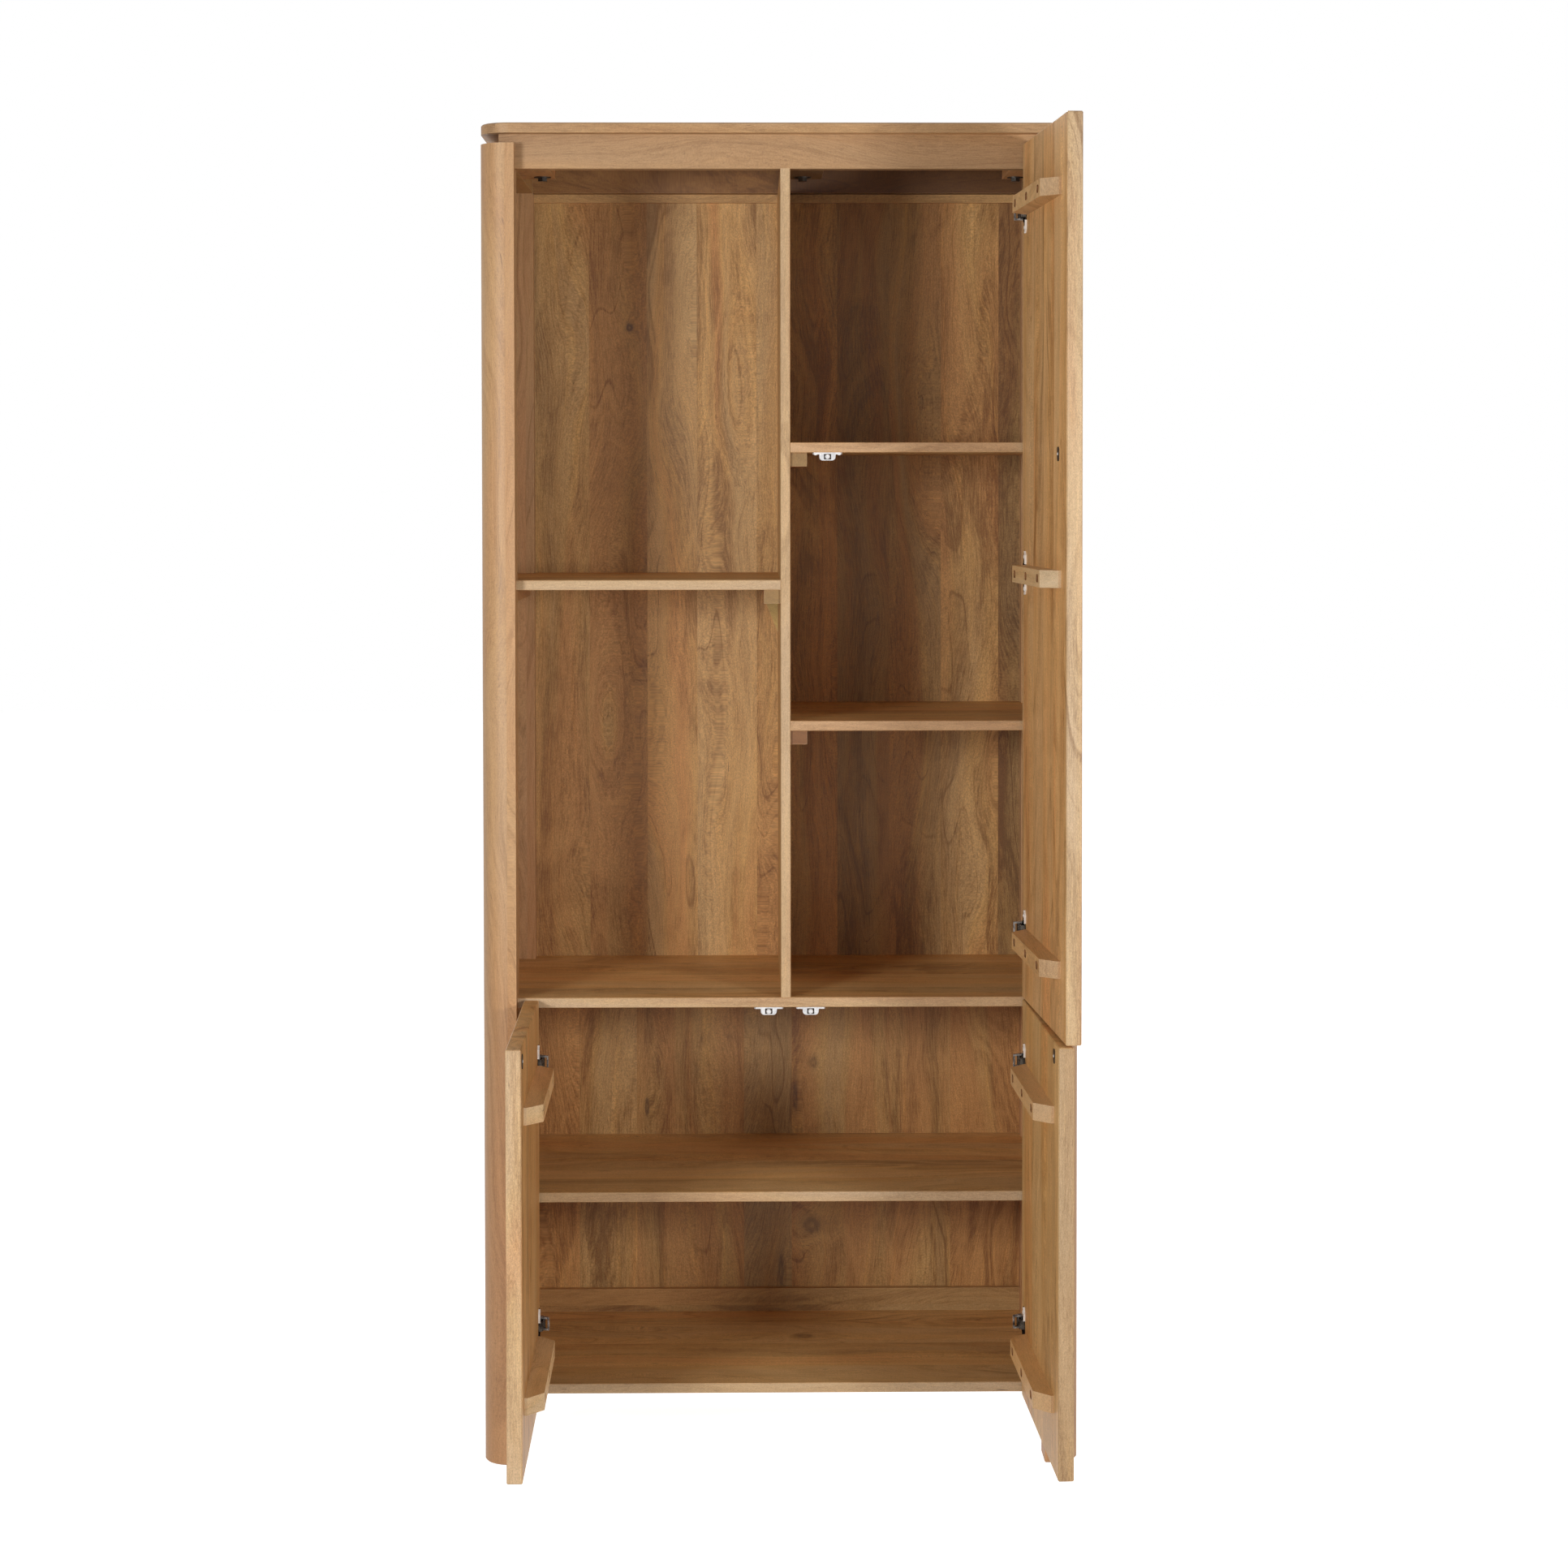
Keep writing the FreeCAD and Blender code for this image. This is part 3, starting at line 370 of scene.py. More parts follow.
def edge_wear(graph):
    """Mask of the outer edges, rubbed paler and smoother by hands."""
    soft = graph.add("ShaderNodeBevel", {"Radius": WEAR_RADIUS}, samples=WEAR_SAMPLES).outputs[0]
    flat = graph.add("ShaderNodeNewGeometry").outputs["Normal"]
    bend = graph.math("SUBTRACT", 1.0, graph.vector("DOT_PRODUCT", soft, flat))
    return graph.remap(bend, *WEAR_BEND, 0.0, WEAR_STRENGTH)


def wood(name, grain, across, face, edge=None, planks=None, plank_width=None, contrast=1.0,
         plank_contrast=0.1, hue_contrast=0.1, knots=(), drift=None):
    """Satin wood with its grain along one axis and its planks side by side along another.
    Faces that look to the front or the back take the edge colours.
    A drift is an axis, two places along it between which a tint comes in, and the tint, a painted shade or
    light."""
    material, graph, shader = new_material(name)
    coords = graph.add("ShaderNodeTexCoord").outputs
    spot = dict(zip("xyz", graph.split(coords["Object"])))
    depth = next(axis for axis in "xyz" if axis not in (grain, across))
    if planks:
        centre, seed = planks(graph, spot)
    else:
        centre, seed = even_planks(graph, spot, across, plank_width)
    place = graph.join(graph.math("SUBTRACT", spot[across], centre), spot[depth], spot[grain])
    swell, heart = knot_fields(graph, spot[across], spot[grain], knots) if knots else (0.0, 0.0)
    figure = graph.add("ShaderNodeGroup", node_tree=FIGURE)
    for key, value in (("Place", place), ("Seed", seed), ("Swell", swell)):
        graph.give(figure.inputs[key], value)
    parts = figure.outputs
    lightness, redness = (graph.math("SUBTRACT", part, 0.5) for part in graph.split(seed)[1:])

    value = 0.5
    for key, weight in FIGURE_WEIGHTS:
        middling = 0.0 if weight < 0 else 0.5
        away = graph.math("SUBTRACT", parts[key], middling)
        value = graph.math("MULTIPLY_ADD", away, weight * contrast, value)
    colour = graph.ramp(value, list(zip(RAMP_PLACES, face)))
    if edge:
        forward = graph.math("ABSOLUTE", graph.split(coords["Normal"])[1])
        edge_colour = graph.ramp(value, list(zip(RAMP_PLACES, edge)))
        colour = graph.mix(graph.remap(forward, *EDGE_FACING), colour, edge_colour)
    hue = graph.math("MULTIPLY_ADD", redness, hue_contrast, parts["Warmth"])
    colour = graph.mix(min(contrast, 1.0), colour, graph.ramp(hue, HUE_TINTS), "MULTIPLY")
    streak = graph.math("MULTIPLY", parts["Streak"], contrast)
    colour = graph.mix(streak, colour, STREAK_TINT, "MULTIPLY")
    if drift:
        axis, start, end, tint = drift
        colour = graph.mix(graph.remap(spot[axis], start, end), colour, tint, "MULTIPLY")
    light = graph.math("MULTIPLY_ADD", lightness, 2.0 * plank_contrast, 1.0)
    grit = graph.math("SUBTRACT", parts["Grit"], 0.5)
    light = graph.math("MULTIPLY", light, graph.math("MULTIPLY_ADD", grit, GRIT_CONTRAST * contrast, 1.0))
    colour = graph.mix(1.0, colour, graph.join(light, light, light), "MULTIPLY")
    dark = graph.math("MAXIMUM", graph.math("MULTIPLY", parts["Pore"], PORE_DARKNESS), heart)
    dark = graph.math("MAXIMUM", dark, graph.math("MULTIPLY", parts["Fleck"], FLECK_DARKNESS))
    colour = graph.mix(dark, colour, FLECK_COLOUR)
    worn = edge_wear(graph)
    graph.give(shader.inputs["Base Color"], graph.mix(worn, colour, WORN_COLOUR))

    rough = graph.math("MULTIPLY_ADD", parts["Fibre"], FIBRE_ROUGHNESS, WOOD_ROUGHNESS)
    graph.give(shader.inputs["Roughness"], graph.math("MULTIPLY_ADD", worn, WORN_ROUGHNESS, rough))
    height = graph.math("MULTIPLY_ADD", parts["Pore"], PORE_HEIGHT, parts["Fibre"])
    bump = graph.add("ShaderNodeBump", {**WOOD_BUMP, "Height": height})
    graph.give(shader.inputs["Normal"], bump.outputs[0])
    return material


# Planks of the back, from left to right: where each begins across the cupboard, how light and how red it is
BACK_HALF_WIDTH = 0.404
# Lightness is partly the planks' own tone and partly painted shade; the last upper plank is a painted
# shadow
UPPER_BACK_PLANKS = (
    (-0.404, 0.45, 0.48), (-0.312, 0.42, 0.85), (-0.216, 1.0, 0.45), (-0.134, 0.94, 0.46),
    (-0.036, 0.75, 0.7), (0.015, 0.9, 0.72), (0.095, 0.3, 0.8), (0.18, 0.45, 0.72),
    (0.268, 0.72, 0.62), (0.36, 0.05, 0.7),
)
LOWER_BACK_PLANKS = (
    (-0.404, 0.8, 0.7), (-0.33, 0.72, 0.62), (-0.236, 0.5, 0.85), (-0.057, 0.4, 0.6),
    (0.02, 0.48, 0.78), (0.182, 0.52, 0.7), (0.282, 0.62, 0.82),
)

# Height at which the upper planks of the back meet the lower ones
BACK_SPLIT = 0.697

# The three ceiling blocks, from left to right, in the same way; the middle one is dark with painted shade
BLOCK_PLANKS = ((-0.404, 0.5, 0.5), (-0.2, 0.0, 0.5), (0.2, 0.5, 0.5))

# Knots and eyes of the back: place across and up, half width, half length, darkness, bend of the grain
BACK_KNOTS = (
    (-0.243, 1.738, 0.005, 0.0065, 0.85, 0.009),
    (-0.217, 0.452, 0.003, 0.014, 0.7, 0.005),
    (0.028, 0.468, 0.0035, 0.026, 0.6, 0.006),
    (0.058, 0.526, 0.006, 0.008, 0.5, 0.01),
    (0.055, 0.255, 0.013, 0.012, 0.6, 0.02),
    (0.004, 0.18, 0.004, 0.024, 0.6, 0.006),
    (-0.069, 1.637, 0.01, 0.045, 0.0, 0.05),
    (0.232, 1.52, 0.011, 0.05, 0.0, 0.04),
    (-0.28, 1.1, 0.011, 0.045, 0.0, 0.045),
)

# Knot of the bottom panel, in the same way, with its place back and across
BOTTOM_KNOTS = ((0.234, 0.04, 0.01, 0.012, 0.55, 0.012),)


def plank_field(graph, across, planks):
    """Middle of each plank as a share of the back's width, its lightness and its redness, as a colour."""
    share = graph.math("MULTIPLY_ADD", across, 0.5 / BACK_HALF_WIDTH, 0.5)
    ends = [plank[0] for plank in planks[1:]] + [BACK_HALF_WIDTH]
    stops = []
    for (start, light, red), end in zip(planks, ends):
        place = (start + BACK_HALF_WIDTH) / (2 * BACK_HALF_WIDTH)
        centre = ((start + end) / 2 + BACK_HALF_WIDTH) / (2 * BACK_HALF_WIDTH)
        stops.append((place, (centre, light, red, 1.0)))
    return graph.ramp(share, stops, "CONSTANT")


def plank_middle(graph, field):
    """Middle of each plank in metres across the cupboard."""
    return graph.math("MULTIPLY_ADD", graph.split(field)[0], 2 * BACK_HALF_WIDTH, -BACK_HALF_WIDTH)


def back_planks(graph, spot):
    """Middle and seed of each plank of the back, whose upper and lower halves are glued up differently."""
    high = graph.math("GREATER_THAN", spot["z"], BACK_SPLIT)
    lower = plank_field(graph, spot["x"], LOWER_BACK_PLANKS)
    upper = plank_field(graph, spot["x"], UPPER_BACK_PLANKS)
    field = graph.mix(high, lower, upper)
    return plank_middle(graph, field), field


def block_planks(graph, spot):
    """Middle and seed of each ceiling block."""
    field = plank_field(graph, spot["x"], BLOCK_PLANKS)
    return plank_middle(graph, field), field


WOODS = {
    "back": wood("back_wood", "z", "x", BACK, planks=back_planks, contrast=1.1, plank_contrast=0.3,
                 hue_contrast=0.4, knots=BACK_KNOTS),
    "upper_right_door": wood("upper_right_door_wood", "z", "y", *UPPER_RIGHT_DOOR, plank_width=0.09,
                             contrast=0.85),
    "lower_left_door": wood("lower_left_door_wood", "z", "y", *LOWER_LEFT_DOOR, plank_width=0.1,
                            contrast=0.85),
    "lower_right_door": wood("lower_right_door_wood", "z", "y", *LOWER_RIGHT_DOOR, plank_width=0.1,
                             contrast=0.85),
    "side": wood("side_wood", "z", "y", TOP, plank_width=0.085, contrast=0.85),
    "board": wood("board_wood", "x", "y", BOARD, SHELF_EDGE, plank_width=0.12, contrast=0.75),
    "bottom": wood("bottom_wood", "x", "y", BOARD, SHELF_EDGE, plank_width=0.12, contrast=0.75,
                   knots=BOTTOM_KNOTS),
    "divider": wood("divider_wood", "z", "y", BACK, SHELF_EDGE, plank_width=0.1, contrast=0.75),
    # painted shade: the posts darken and redden towards their feet
    "post": wood("post_wood", "z", "x", POST, plank_width=0.3, contrast=0.5,
                 drift=("z", 1.1, 0.3, POST_FOOT_SHADE)),
    "rail": wood("rail_wood", "x", "z", RAIL, plank_width=0.2, contrast=0.55),
    "inner_rail": wood("inner_rail_wood", "x", "z", BACK, plank_width=0.2, contrast=0.65),
    "top_rail": wood("top_rail_wood", "x", "z", TOP_RAIL, plank_width=0.2, contrast=0.65),
    # painted shade: the rail is dark, and darker still right of the divider
    "neck_back": wood("neck_back_wood", "x", "z", NECK_BACK, plank_width=0.2, contrast=0.65,
                      drift=("x", -0.03, 0.03, SHADED_TINT)),
    "cross_rail": wood("cross_rail_wood", "y", "z", BACK, plank_width=0.2, contrast=0.65),
    "top": wood("top_wood", "x", "y", TOP, RAIL, plank_width=0.09, contrast=0.7),
    "batten": wood("batten_wood", "y", "z", BATTEN, BATTEN_END, plank_width=0.2, contrast=0.65),
    "pale_batten": wood("pale_batten_wood", "y", "z", PALE_BATTEN, PALE_BATTEN_END, plank_width=0.2,
                        contrast=0.65),
    # painted light: the cleats lighten at their back ends, over the gussets
    "cleat": wood("cleat_wood", "y", "z", CLEAT, CLEAT_END, plank_width=0.2, contrast=0.7,
                  drift=("y", 0.35, 0.375, PAINTED_GUSSET_LIGHT)),
    "block": wood("block_wood", "y", "x", CLEAT, CLEAT_END, planks=block_planks, contrast=0.7,
                  plank_contrast=0.7),
    "red_cleat": wood("red_cleat_wood", "y", "z", CLEAT, RED_CLEAT_END, plank_width=0.2, contrast=0.7),
}


# Metals and liners

# Blotches and brushing per metre, and how strongly the brushing shades and roughens the metal
BLOTCH_SCALE = (140.0, 140.0, 140.0)
UPRIGHT_BRUSHING = (900.0, 900.0, 60.0)
CROSSWISE_BRUSHING = (60.0, 900.0, 900.0)
BRUSHING_SHADE = 0.5
METAL_RAMP = (0.25, 0.7)
ROUGHNESS_SPREAD = 0.2
METAL_BUMP = {"Strength": 0.08, "Distance": 0.0002}


def metal(name, colour, dark, roughness, metallic, brushing=UPRIGHT_BRUSHING):
    """Plated or painted metal with fine brushing, faint blotches and rubbed roughness."""
    material, graph, shader = new_material(name)
    coords = graph.add("ShaderNodeTexCoord").outputs["Object"]
    lines = graph.noise(graph.vector("MULTIPLY", coords, brushing), detail=3.0, roughness=0.6)
    blotch = graph.noise(graph.vector("MULTIPLY", coords, BLOTCH_SCALE))
    shade = graph.math("MULTIPLY_ADD", graph.math("SUBTRACT", lines, 0.5), BRUSHING_SHADE, blotch)
    graph.give(shader.inputs["Base Color"], graph.ramp(shade, list(zip(METAL_RAMP, (dark, colour)))))
    shader.inputs["Metallic"].default_value = metallic
    graph.give(shader.inputs["Roughness"], graph.math("MULTIPLY_ADD", shade, ROUGHNESS_SPREAD, roughness))
    bump = graph.add("ShaderNodeBump", {**METAL_BUMP, "Height": lines})
    graph.give(shader.inputs["Normal"], bump.outputs[0])
    return material


NICKEL = metal("nickel", srgb(248, 248, 246), srgb(228, 227, 224), 0.24, 0.2)
ZINC = metal("zinc", srgb(222, 222, 222), srgb(192, 192, 194), 0.34, 0.3, CROSSWISE_BRUSHING)
HINGE_STEEL = metal("hinge_steel", srgb(84, 76, 68), srgb(40, 35, 30), 0.16, 0.9)
DARK_STEEL = metal("dark_steel", srgb(74, 66, 58), srgb(38, 34, 30), 0.34, 0.6)
BLACK_STEEL = metal("black_steel", srgb(52, 42, 35), srgb(30, 25, 21), 0.55, 0.2)
ARM_STEEL = metal("arm_steel", srgb(242, 240, 236), srgb(50, 45, 40), 0.16, 0.6)
BROWN_LINER = metal("brown_liner", srgb(158, 108, 64), srgb(112, 74, 42), 0.6, 0.0)
PALE_LINER = metal("pale_liner", srgb(206, 164, 114), srgb(184, 142, 94), 0.6, 0.0)


# Which material each node takes, by the ends of the nodes' names; the first that fits counts
MATERIALS = (
    ("back_panel", WOODS["back"]),
    ("side_panel", WOODS["side"]),
    ("post", WOODS["post"]),
    ("top_panel", WOODS["top"]),
    ("neck_front_rail", WOODS["rail"]),
    ("neck_back_rail", WOODS["neck_back"]),
    ("neck_left_rail", WOODS["cross_rail"]),
    ("neck_right_rail", WOODS["cross_rail"]),
    ("back_top_rail", WOODS["top_rail"]),
    ("rail", WOODS["inner_rail"]),
    ("bottom_panel", WOODS["bottom"]),
    ("mid_panel", WOODS["board"]),
    ("shelf", WOODS["board"]),
    ("divider", WOODS["divider"]),
    ("middle_right_shelf_cleats", WOODS["red_cleat"]),
    ("cleats", WOODS["cleat"]),
    ("blocks", WOODS["block"]),
    ("left_door_top_batten", WOODS["pale_batten"]),
    ("left_door_bottom_batten", WOODS["pale_batten"]),
    ("middle_batten", WOODS["pale_batten"]),
    ("batten", WOODS["batten"]),
    ("upper_right_door", WOODS["upper_right_door"]),
    ("lower_left_door", WOODS["lower_left_door"]),
    ("lower_right_door", WOODS["lower_right_door"]),
    ("washers", DARK_STEEL),
    ("bolts", DARK_STEEL),
    ("strike", DARK_STEEL),
    ("plates", ARM_STEEL),
    ("arms", ARM_STEEL),
    ("cups", HINGE_STEEL),
    ("pins", NICKEL),
    ("links", HINGE_STEEL),
    ("housing", ZINC),
    ("plunger", ZINC),
)

for name, node in NODES.items():
    finish = next(material for ending, material in MATERIALS if name.endswith(ending))
    for slot in node.material_slots:
        slot.material = finish


# Shapes of the small fittings: screws, flange rims, slot liners and latch collars

# Screw heads: radius and height in metres
FLANGE_SCREW = (0.0036, 0.0012)
BATTEN_SCREW = (0.0042, 0.002)
STRIKE_SCREW = (0.0022, 0.0005)
PLATE_SCREW = (0.0036, 0.0014)
LATCH_SCREW = (0.0027, 0.0012)

# Shape of a screw head, in shares of its radius and height; the recess is a cross: reach and half width
SCREW_SIDES = 20
SHOULDER_REACH = 0.92
SHOULDER_LEVEL = 0.55
CROWN_REACH = 0.68
RECESS_MOUTH = (0.55, 0.13)
RECESS_FLOOR = (0.46, 0.1)
RECESS_LEVEL = 0.3

# How far the first screw of a piece is turned, and each next one more than the last, in radians
FIRST_TURN = 0.4
NEXT_TURN = 1.3

# Liners of the batten slots, in metres, and steps of each round end
LINER_FIT = 0.0001
LINER_WALL = 0.0006
LINER_SETBACK = 0.0002
LINER_STEPS = 12

# Steps round a collar, and the least that a side is divided by
COLLAR_STEPS = 40
NEARLY_NOTHING = 1e-6


def add_walls(mesh, lower, upper):
    """Joins two closed rings of vertices by faces."""
    for i in range(len(lower)):
        j = (i + 1) % len(lower)
        mesh.faces.new((lower[i], lower[j], upper[j], upper[i]))


def around(count):
    """Angles of points evenly round a circle."""
    return [2 * math.pi * i / count for i in range(count)]


def cross_outline(reach, half):
    """Corners of a cross, in order round it."""
    quarter = ((reach, -half), (reach, half), (half, half))
    corners = []
    for turn in range(4):
        spin = Matrix.Rotation(turn * math.pi / 2, 2)
        corners.extend(spin @ Vector(corner) for corner in quarter)
    return corners


def add_screw(mesh, place, facing, radius, height, turn):
    """Adds a crowned screw head with a cross recess, seated at a place and facing a direction."""
    spin = facing.to_track_quat("Z", "Y").to_matrix().to_4x4()
    put = Matrix.Translation(place) @ spin @ Matrix.Rotation(turn, 4, "Z")

    def ring(points, z):
        return [mesh.verts.new(put @ Vector((p[0], p[1], z))) for p in points]

    def circle(r):
        return [(r * math.cos(angle), r * math.sin(angle)) for angle in around(SCREW_SIDES)]

    def cross(shape):
        return cross_outline(*(radius * share for share in shape))

    rim = ring(circle(radius), 0.0)
    shoulder = ring(circle(radius * SHOULDER_REACH), height * SHOULDER_LEVEL)
    crown = ring(circle(radius * CROWN_REACH), height)
    mouth = ring(cross(RECESS_MOUTH), height)
    floor = ring(cross(RECESS_FLOOR), height * RECESS_LEVEL)
    add_walls(mesh, rim, shoulder)
    add_walls(mesh, shoulder, crown)
    add_walls(mesh, floor, mouth)
    mesh.faces.new(floor)
    loops = []
    for corners in (crown, mouth):
        for i in range(len(corners)):
            j = (i + 1) % len(corners)
            loops.append(mesh.edges.get((corners[i], corners[j])))
    bmesh.ops.triangle_fill(mesh, edges=loops, use_beauty=True)


def add_collar(mesh, centre, half_width, half_height, radius, depth):
    """Adds a square-cut collar with a round hole, its face towards the front of the cupboard."""
    rings = []
    for back in (depth, 0.0):
        behind = Vector((0.0, back, 0.0))
        outer = []
        inner = []
        for angle in around(COLLAR_STEPS):
            turn = Vector((math.cos(angle), 0.0, math.sin(angle)))
            to_side = half_width / max(abs(turn.x), NEARLY_NOTHING)
            to_top = half_height / max(abs(turn.z), NEARLY_NOTHING)
            reach = min(to_side, to_top)
            outer.append(mesh.verts.new(centre + turn * reach + behind))
            inner.append(mesh.verts.new(centre + turn * radius + behind))
        rings.extend((outer, inner))
    rear_outer, rear_inner, front_outer, front_inner = rings
    circuit = (rear_inner, rear_outer, front_outer, front_inner)
    for first, second in zip(circuit, circuit[1:] + circuit[:1]):
        add_walls(mesh, first, second)


def add_liner(mesh, points, facing, sideways, rim):
    """Adds a thin oblong cup that lines a sunk slot, from the slot's floor to a level near its rim."""
    centre = middle(points)
    half_length = max(abs(sideways.dot(p - centre)) for p in points)
    radius = max(abs(UP.dot(p - centre)) for p in points)
    floor = facing.dot(centre)
    outlines = []
    for inset in (LINER_FIT, LINER_FIT + LINER_WALL):
        outline = []
        for side in (1, -1):
            for i in range(LINER_STEPS + 1):
                turn = math.pi * (i / LINER_STEPS - 0.5)
                along = side * (half_length - radius + (radius - inset) * math.cos(turn))
                outline.append(centre + sideways * along + UP * (side * (radius - inset) * math.sin(turn)))
        outlines.append(outline)
    outer, inner = outlines
    levels = ((outer, floor), (outer, rim), (inner, rim), (inner, floor + LINER_WALL))
    rings = [[mesh.verts.new(p + facing * (level - floor)) for p in line] for line, level in levels]
    for first, second in zip(rings, rings[1:]):
        add_walls(mesh, first, second)
    mesh.faces.new(rings[0])
    mesh.faces.new(rings[-1])


def add_strip(mesh, path, aside, facing, height):
    """Adds a thin strip along a path, as thick as the offsets aside, that stands up towards a direction."""
    outline = path + [p + offset for p, offset in zip(path, aside)][::-1]
    lower = [mesh.verts.new(p) for p in outline]
    upper = [mesh.verts.new(p + facing * height) for p in outline]
    add_walls(mesh, lower, upper)
    count = len(outline)
    for ring in (lower, upper):
        for i in range(len(path) - 1):
            mesh.faces.new((ring[i], ring[i + 1], ring[count - 2 - i], ring[count - 1 - i]))


def add_piece(name, mesh, body, material):
    """Turns a mesh into a piece that rides on a body."""
    bmesh.ops.recalc_face_normals(mesh, faces=mesh.faces)
    data = bpy.data.meshes.new(name)
    mesh.to_mesh(data)
    mesh.free()
    data.materials.append(material)
    piece = bpy.data.objects.new(name, data)
    bpy.context.scene.collection.objects.link(piece)
    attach(piece, body)


def make_screws(name, seats, size, body):
    """One piece with a screw at each seat (place, facing direction), riding on a body."""
    mesh = bmesh.new()
    for number, (place, facing) in enumerate(seats):
        add_screw(mesh, place, facing, *size, FIRST_TURN + NEXT_TURN * number)
    add_piece(name, mesh, body, NICKEL)


# Finding the seats of the fittings on the frame

# How near two points lie to count as one level
LEVEL_FIT = 1e-4


def corners_of(node):
    return [v.co.copy() for v in NODES[node].data.vertices]


def clusters(points, direction, gap):
    """Groups of points that lie apart from each other along a direction."""
    ordered = sorted(points, key=direction.dot)
    groups = [[ordered[0]]]
    for before, point in zip(ordered, ordered[1:]):
        if direction.dot(point) - direction.dot(before) > gap:
            groups.append([])
        groups[-1].append(point)
    return groups


def middle(points):
    """Middle of the box round some points."""
    axes = list(zip(*points))
    return (Vector(map(min, axes)) + Vector(map(max, axes))) / 2


def at_level(points, direction, level):
    """Points at a level along a direction."""
    return [p for p in points if abs(direction.dot(p) - level) < LEVEL_FIT]


# Fittings of the doors, in metres

# Gaps that part one hinge from the next, and one slot of a batten from the next
HINGE_GAP = 0.1
SLOT_GAP = 0.03

# Flanges of the hinge cups: where the ears begin above and below the middle, screws and turned-up rims
EAR_START = 0.02
SCREW_APART = 0.048
FLANGE_THICKNESS = 0.0012
RIM_START = 0.013
RIM_TURN = 0.006
RIM_WALL = 0.0008
RIM_CORNER_WALL = RIM_WALL / 1.5
RIM_HEIGHT = 0.003

# Slots of the battens
SLOT_DEPTH = 0.014
LINERS = dict(zip(DOORS, (BROWN_LINER, PALE_LINER, BROWN_LINER)))


def door_axes(door):
    """Middle of a door, the direction that its inner face looks to and the direction along its width."""
    lower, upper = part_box(door)
    centre = (lower + upper) / 2
    normal = max(NODES[door].data.polygons, key=lambda face: face.area).normal.copy()
    towards = middle(corners_of(door + "_top_batten")) - centre
    inward = normal if normal.dot(towards) > 0 else -normal
    inward.z = 0.0
    inward.normalize()
    return centre, inward, UP.cross(inward)


def fit_hinge_cups(door, door_middle, inward, sideways):
    """Turned-up rims and screws on the flanges of a door's hinge cups."""
    seats = []
    rims = bmesh.new()
    for cup in clusters(corners_of(door + "_hinge_cups"), UP, HINGE_GAP):
        top = max(inward.dot(p) for p in cup)
        face = middle(at_level(cup, inward, top))
        flange = [p for p in at_level(cup, inward, top) if abs(p.z - face.z) > EAR_START]
        across = [sideways.dot(p) for p in flange]
        centre = sum(across) / len(across)
        seat = inward * top + sideways * centre
        outward = sideways if sideways.dot(door_middle) > centre else -sideways
        half_width = (max(across) - min(across)) / 2
        half_height = max(p.z - face.z for p in flange)
        corners = ((0.0, RIM_START), (0.0, half_height - RIM_TURN), (-RIM_TURN, half_height))
        for end in (-1, 1):
            seats.append((Vector((seat.x, seat.y, face.z + end * SCREW_APART / 2)), inward))
            path = []
            for forward, rise in corners:
                place = seat + outward * (half_width + forward) + UP * (face.z + end * rise)
                path.append(place - inward * FLANGE_THICKNESS)
            turned = outward + UP * end
            aside = [outward * RIM_WALL, (outward + turned / 2) * RIM_CORNER_WALL, turned * RIM_CORNER_WALL]
            add_strip(rims, path, aside, inward, RIM_HEIGHT)
    add_piece(door + "_flange_rims", rims, door, NICKEL)
    make_screws(door + "_flange_screws", seats, FLANGE_SCREW, door)


def fit_battens(door, inward, sideways):
    """Liners and screws in the slots of a door's battens."""
    seats = []
    liners = bmesh.new()
    for node in NODES:
        if not (node.startswith(door) and node.endswith("_batten")):
            continue
        points = corners_of(node)
        face = max(inward.dot(p) for p in points)
        for slot in clusters(at_level(points, inward, face - SLOT_DEPTH), sideways, SLOT_GAP):
            add_liner(liners, slot, inward, sideways, face - LINER_SETBACK)
            seats.append((middle(slot) + inward * LINER_WALL, inward))
    add_piece(door + "_slot_liners", liners, door, LINERS[door])
    make_screws(door + "_batten_screws", seats, BATTEN_SCREW, door)


def fit_strike(door, inward):
    """Screw of a door's strike plate."""
    plate = corners_of(door + "_strike")
    front = max(inward.dot(p) for p in plate)
    seat = middle(at_level(plate, inward, front))
    make_screws(door + "_strike_screw", [(seat, inward)], STRIKE_SCREW, door)


# Fittings of the carcass, in metres

# Distance between the screws of a hinge's mounting plate
PLATE_SCREW_APART = 0.036

# Ears of the latches: distance between the screws, how far back they sit, thickness
EAR_SCREW_SPAN = 0.0355
EAR_SCREW_BACK = 0.008
EAR_THICKNESS = 0.003

# Collars in the mouths of the latches
COLLAR_HALF_WIDTH = 0.0054
COLLAR_HALF_HEIGHT = 0.0041
COLLAR_HOLE = 0.00395
COLLAR_SETBACK = 0.0003
COLLAR_DEPTH = 0.0012


def fit_hinge_plates():
    """Screws of the hinges' mounting plates."""
    seats = []
    for side in (-1, 1):
        plates = [p for p in corners_of("hinge_plates") if p.x * side > 0]
        facing = Vector((-side, 0, 0))
        for plate in clusters(plates, UP, HINGE_GAP):
            centre = middle(plate)
            face = max(facing.dot(p) for p in plate)
            for offset in (-PLATE_SCREW_APART / 2, PLATE_SCREW_APART / 2):
                seats.append((Vector((-side * face, centre.y, centre.z + offset)), facing))
    make_screws("hinge_plate_screws", seats, PLATE_SCREW, "carcass")


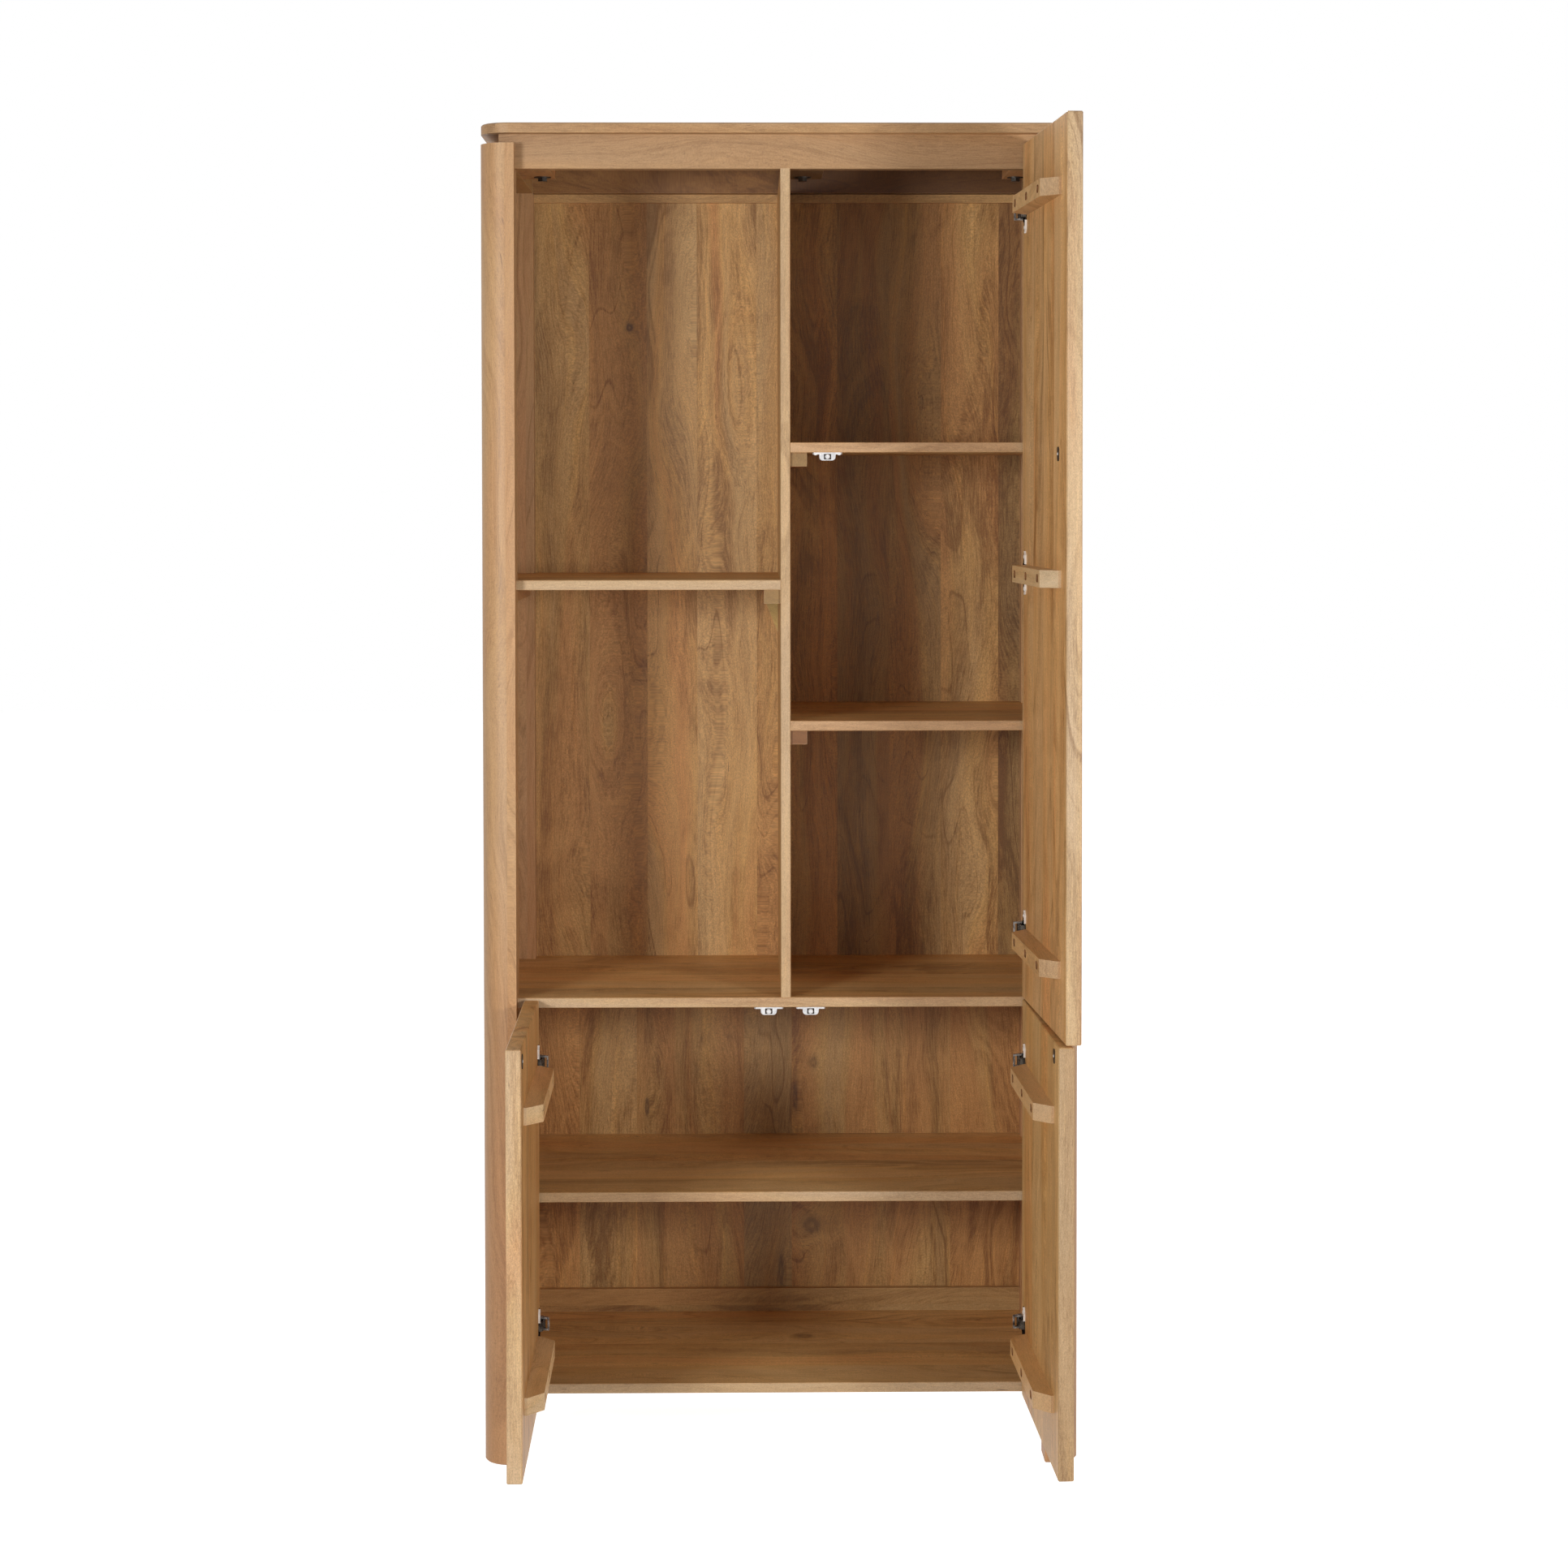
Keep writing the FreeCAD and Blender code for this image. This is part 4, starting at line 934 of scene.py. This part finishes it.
def fit_latches():
    """Screws in the latches' ears and collars in their mouths."""
    seats = []
    collars = bmesh.new()
    for latch in LATCHES:
        low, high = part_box(latch + "_housing")
        for offset in (-EAR_SCREW_SPAN / 2, EAR_SCREW_SPAN / 2):
            across = (low.x + high.x) / 2 + offset
            seats.append((Vector((across, low.y + EAR_SCREW_BACK, high.z - EAR_THICKNESS)), -UP))
        plunger = middle(corners_of(latch + "_plunger"))
        mouth = Vector((plunger.x, low.y + COLLAR_SETBACK, plunger.z))
        add_collar(collars, mouth, COLLAR_HALF_WIDTH, COLLAR_HALF_HEIGHT, COLLAR_HOLE, COLLAR_DEPTH)
    make_screws("latch_screws", seats, LATCH_SCREW, "carcass")
    add_piece("latch_collars", collars, "carcass", BLACK_STEEL)


for door in DOORS:
    door_middle, inward, sideways = door_axes(door)
    fit_hinge_cups(door, door_middle, inward, sideways)
    fit_battens(door, inward, sideways)
    fit_strike(door, inward)
fit_hinge_plates()
fit_latches()


# Stage: a pale floor that shows white and keeps the shadow, lamps and a camera


def seen_rays(graph):
    """Mask of the rays that come from the camera, straight or by way of gloss or glass."""
    rays = graph.add("ShaderNodeLightPath").outputs
    seen = graph.math("MAXIMUM", rays["Is Camera Ray"], rays["Is Glossy Ray"])
    return graph.math("MAXIMUM", seen, rays["Is Transmission Ray"])


def make_floor():
    material, graph, shader = new_material("floor")
    shader.inputs["Base Color"].default_value = FLOOR_COLOUR
    shader.inputs["Roughness"].default_value = FLOOR_ROUGHNESS
    shader.inputs["Emission Color"].default_value = WHITE
    graph.give(shader.inputs["Emission Strength"], graph.math("MULTIPLY", seen_rays(graph), FLOOR_GLOW))
    half = FLOOR_SIZE / 2
    corners = [(-half, -half, 0), (half, -half, 0), (half, half, 0), (-half, half, 0)]
    data = bpy.data.meshes.new("floor")
    data.from_pydata(corners, [], [(0, 1, 2, 3)])
    data.materials.append(material)
    floor = bpy.data.objects.new("floor", data)
    bpy.context.scene.collection.objects.link(floor)


def make_world():
    world = bpy.data.worlds.new("studio")
    world.use_nodes = True
    bpy.context.scene.world = world
    graph = Graph(world.node_tree)
    background = next(n for n in world.node_tree.nodes if n.type == "BACKGROUND")
    background.inputs["Color"].default_value = WHITE
    strength = graph.math("MULTIPLY_ADD", seen_rays(graph), 1.0 - AMBIENT, AMBIENT)
    graph.give(background.inputs["Strength"], strength)


def make_lamp(name, place, width, height, power):
    """Softbox that faces the cupboard."""
    data = bpy.data.lights.new(name, "AREA")
    data.shape = "RECTANGLE"
    data.size = width
    data.size_y = height
    data.energy = power
    lamp = bpy.data.objects.new(name, data)
    lamp.location = place
    lamp.rotation_euler = (LAMP_AIM - place).to_track_quat("-Z", "Y").to_euler()
    bpy.context.scene.collection.objects.link(lamp)


def make_camera():
    data = bpy.data.cameras.new("camera")
    data.sensor_width = SENSOR_WIDTH
    data.lens = FOCAL_PIXELS / PICTURE_SIZE * SENSOR_WIDTH
    data.shift_y = -(PICTURE_SIZE / 2 - AXIS_ROW) / PICTURE_SIZE
    camera = bpy.data.objects.new("camera", data)
    aim = Matrix.Rotation(CAMERA_YAW, 4, "Z") @ Matrix.Rotation(math.pi / 2 - CAMERA_PITCH, 4, "X")
    camera.matrix_world = Matrix.Translation(CAMERA_PLACE) @ aim @ Matrix.Rotation(CAMERA_ROLL, 4, "Z")
    bpy.context.scene.collection.objects.link(camera)
    bpy.context.scene.camera = camera


make_floor()
make_world()
for name, lamp in LAMPS.items():
    make_lamp(name, *lamp)
make_camera()
bpy.context.scene.view_settings.view_transform = "Standard"

bpy.context.view_layer.update()
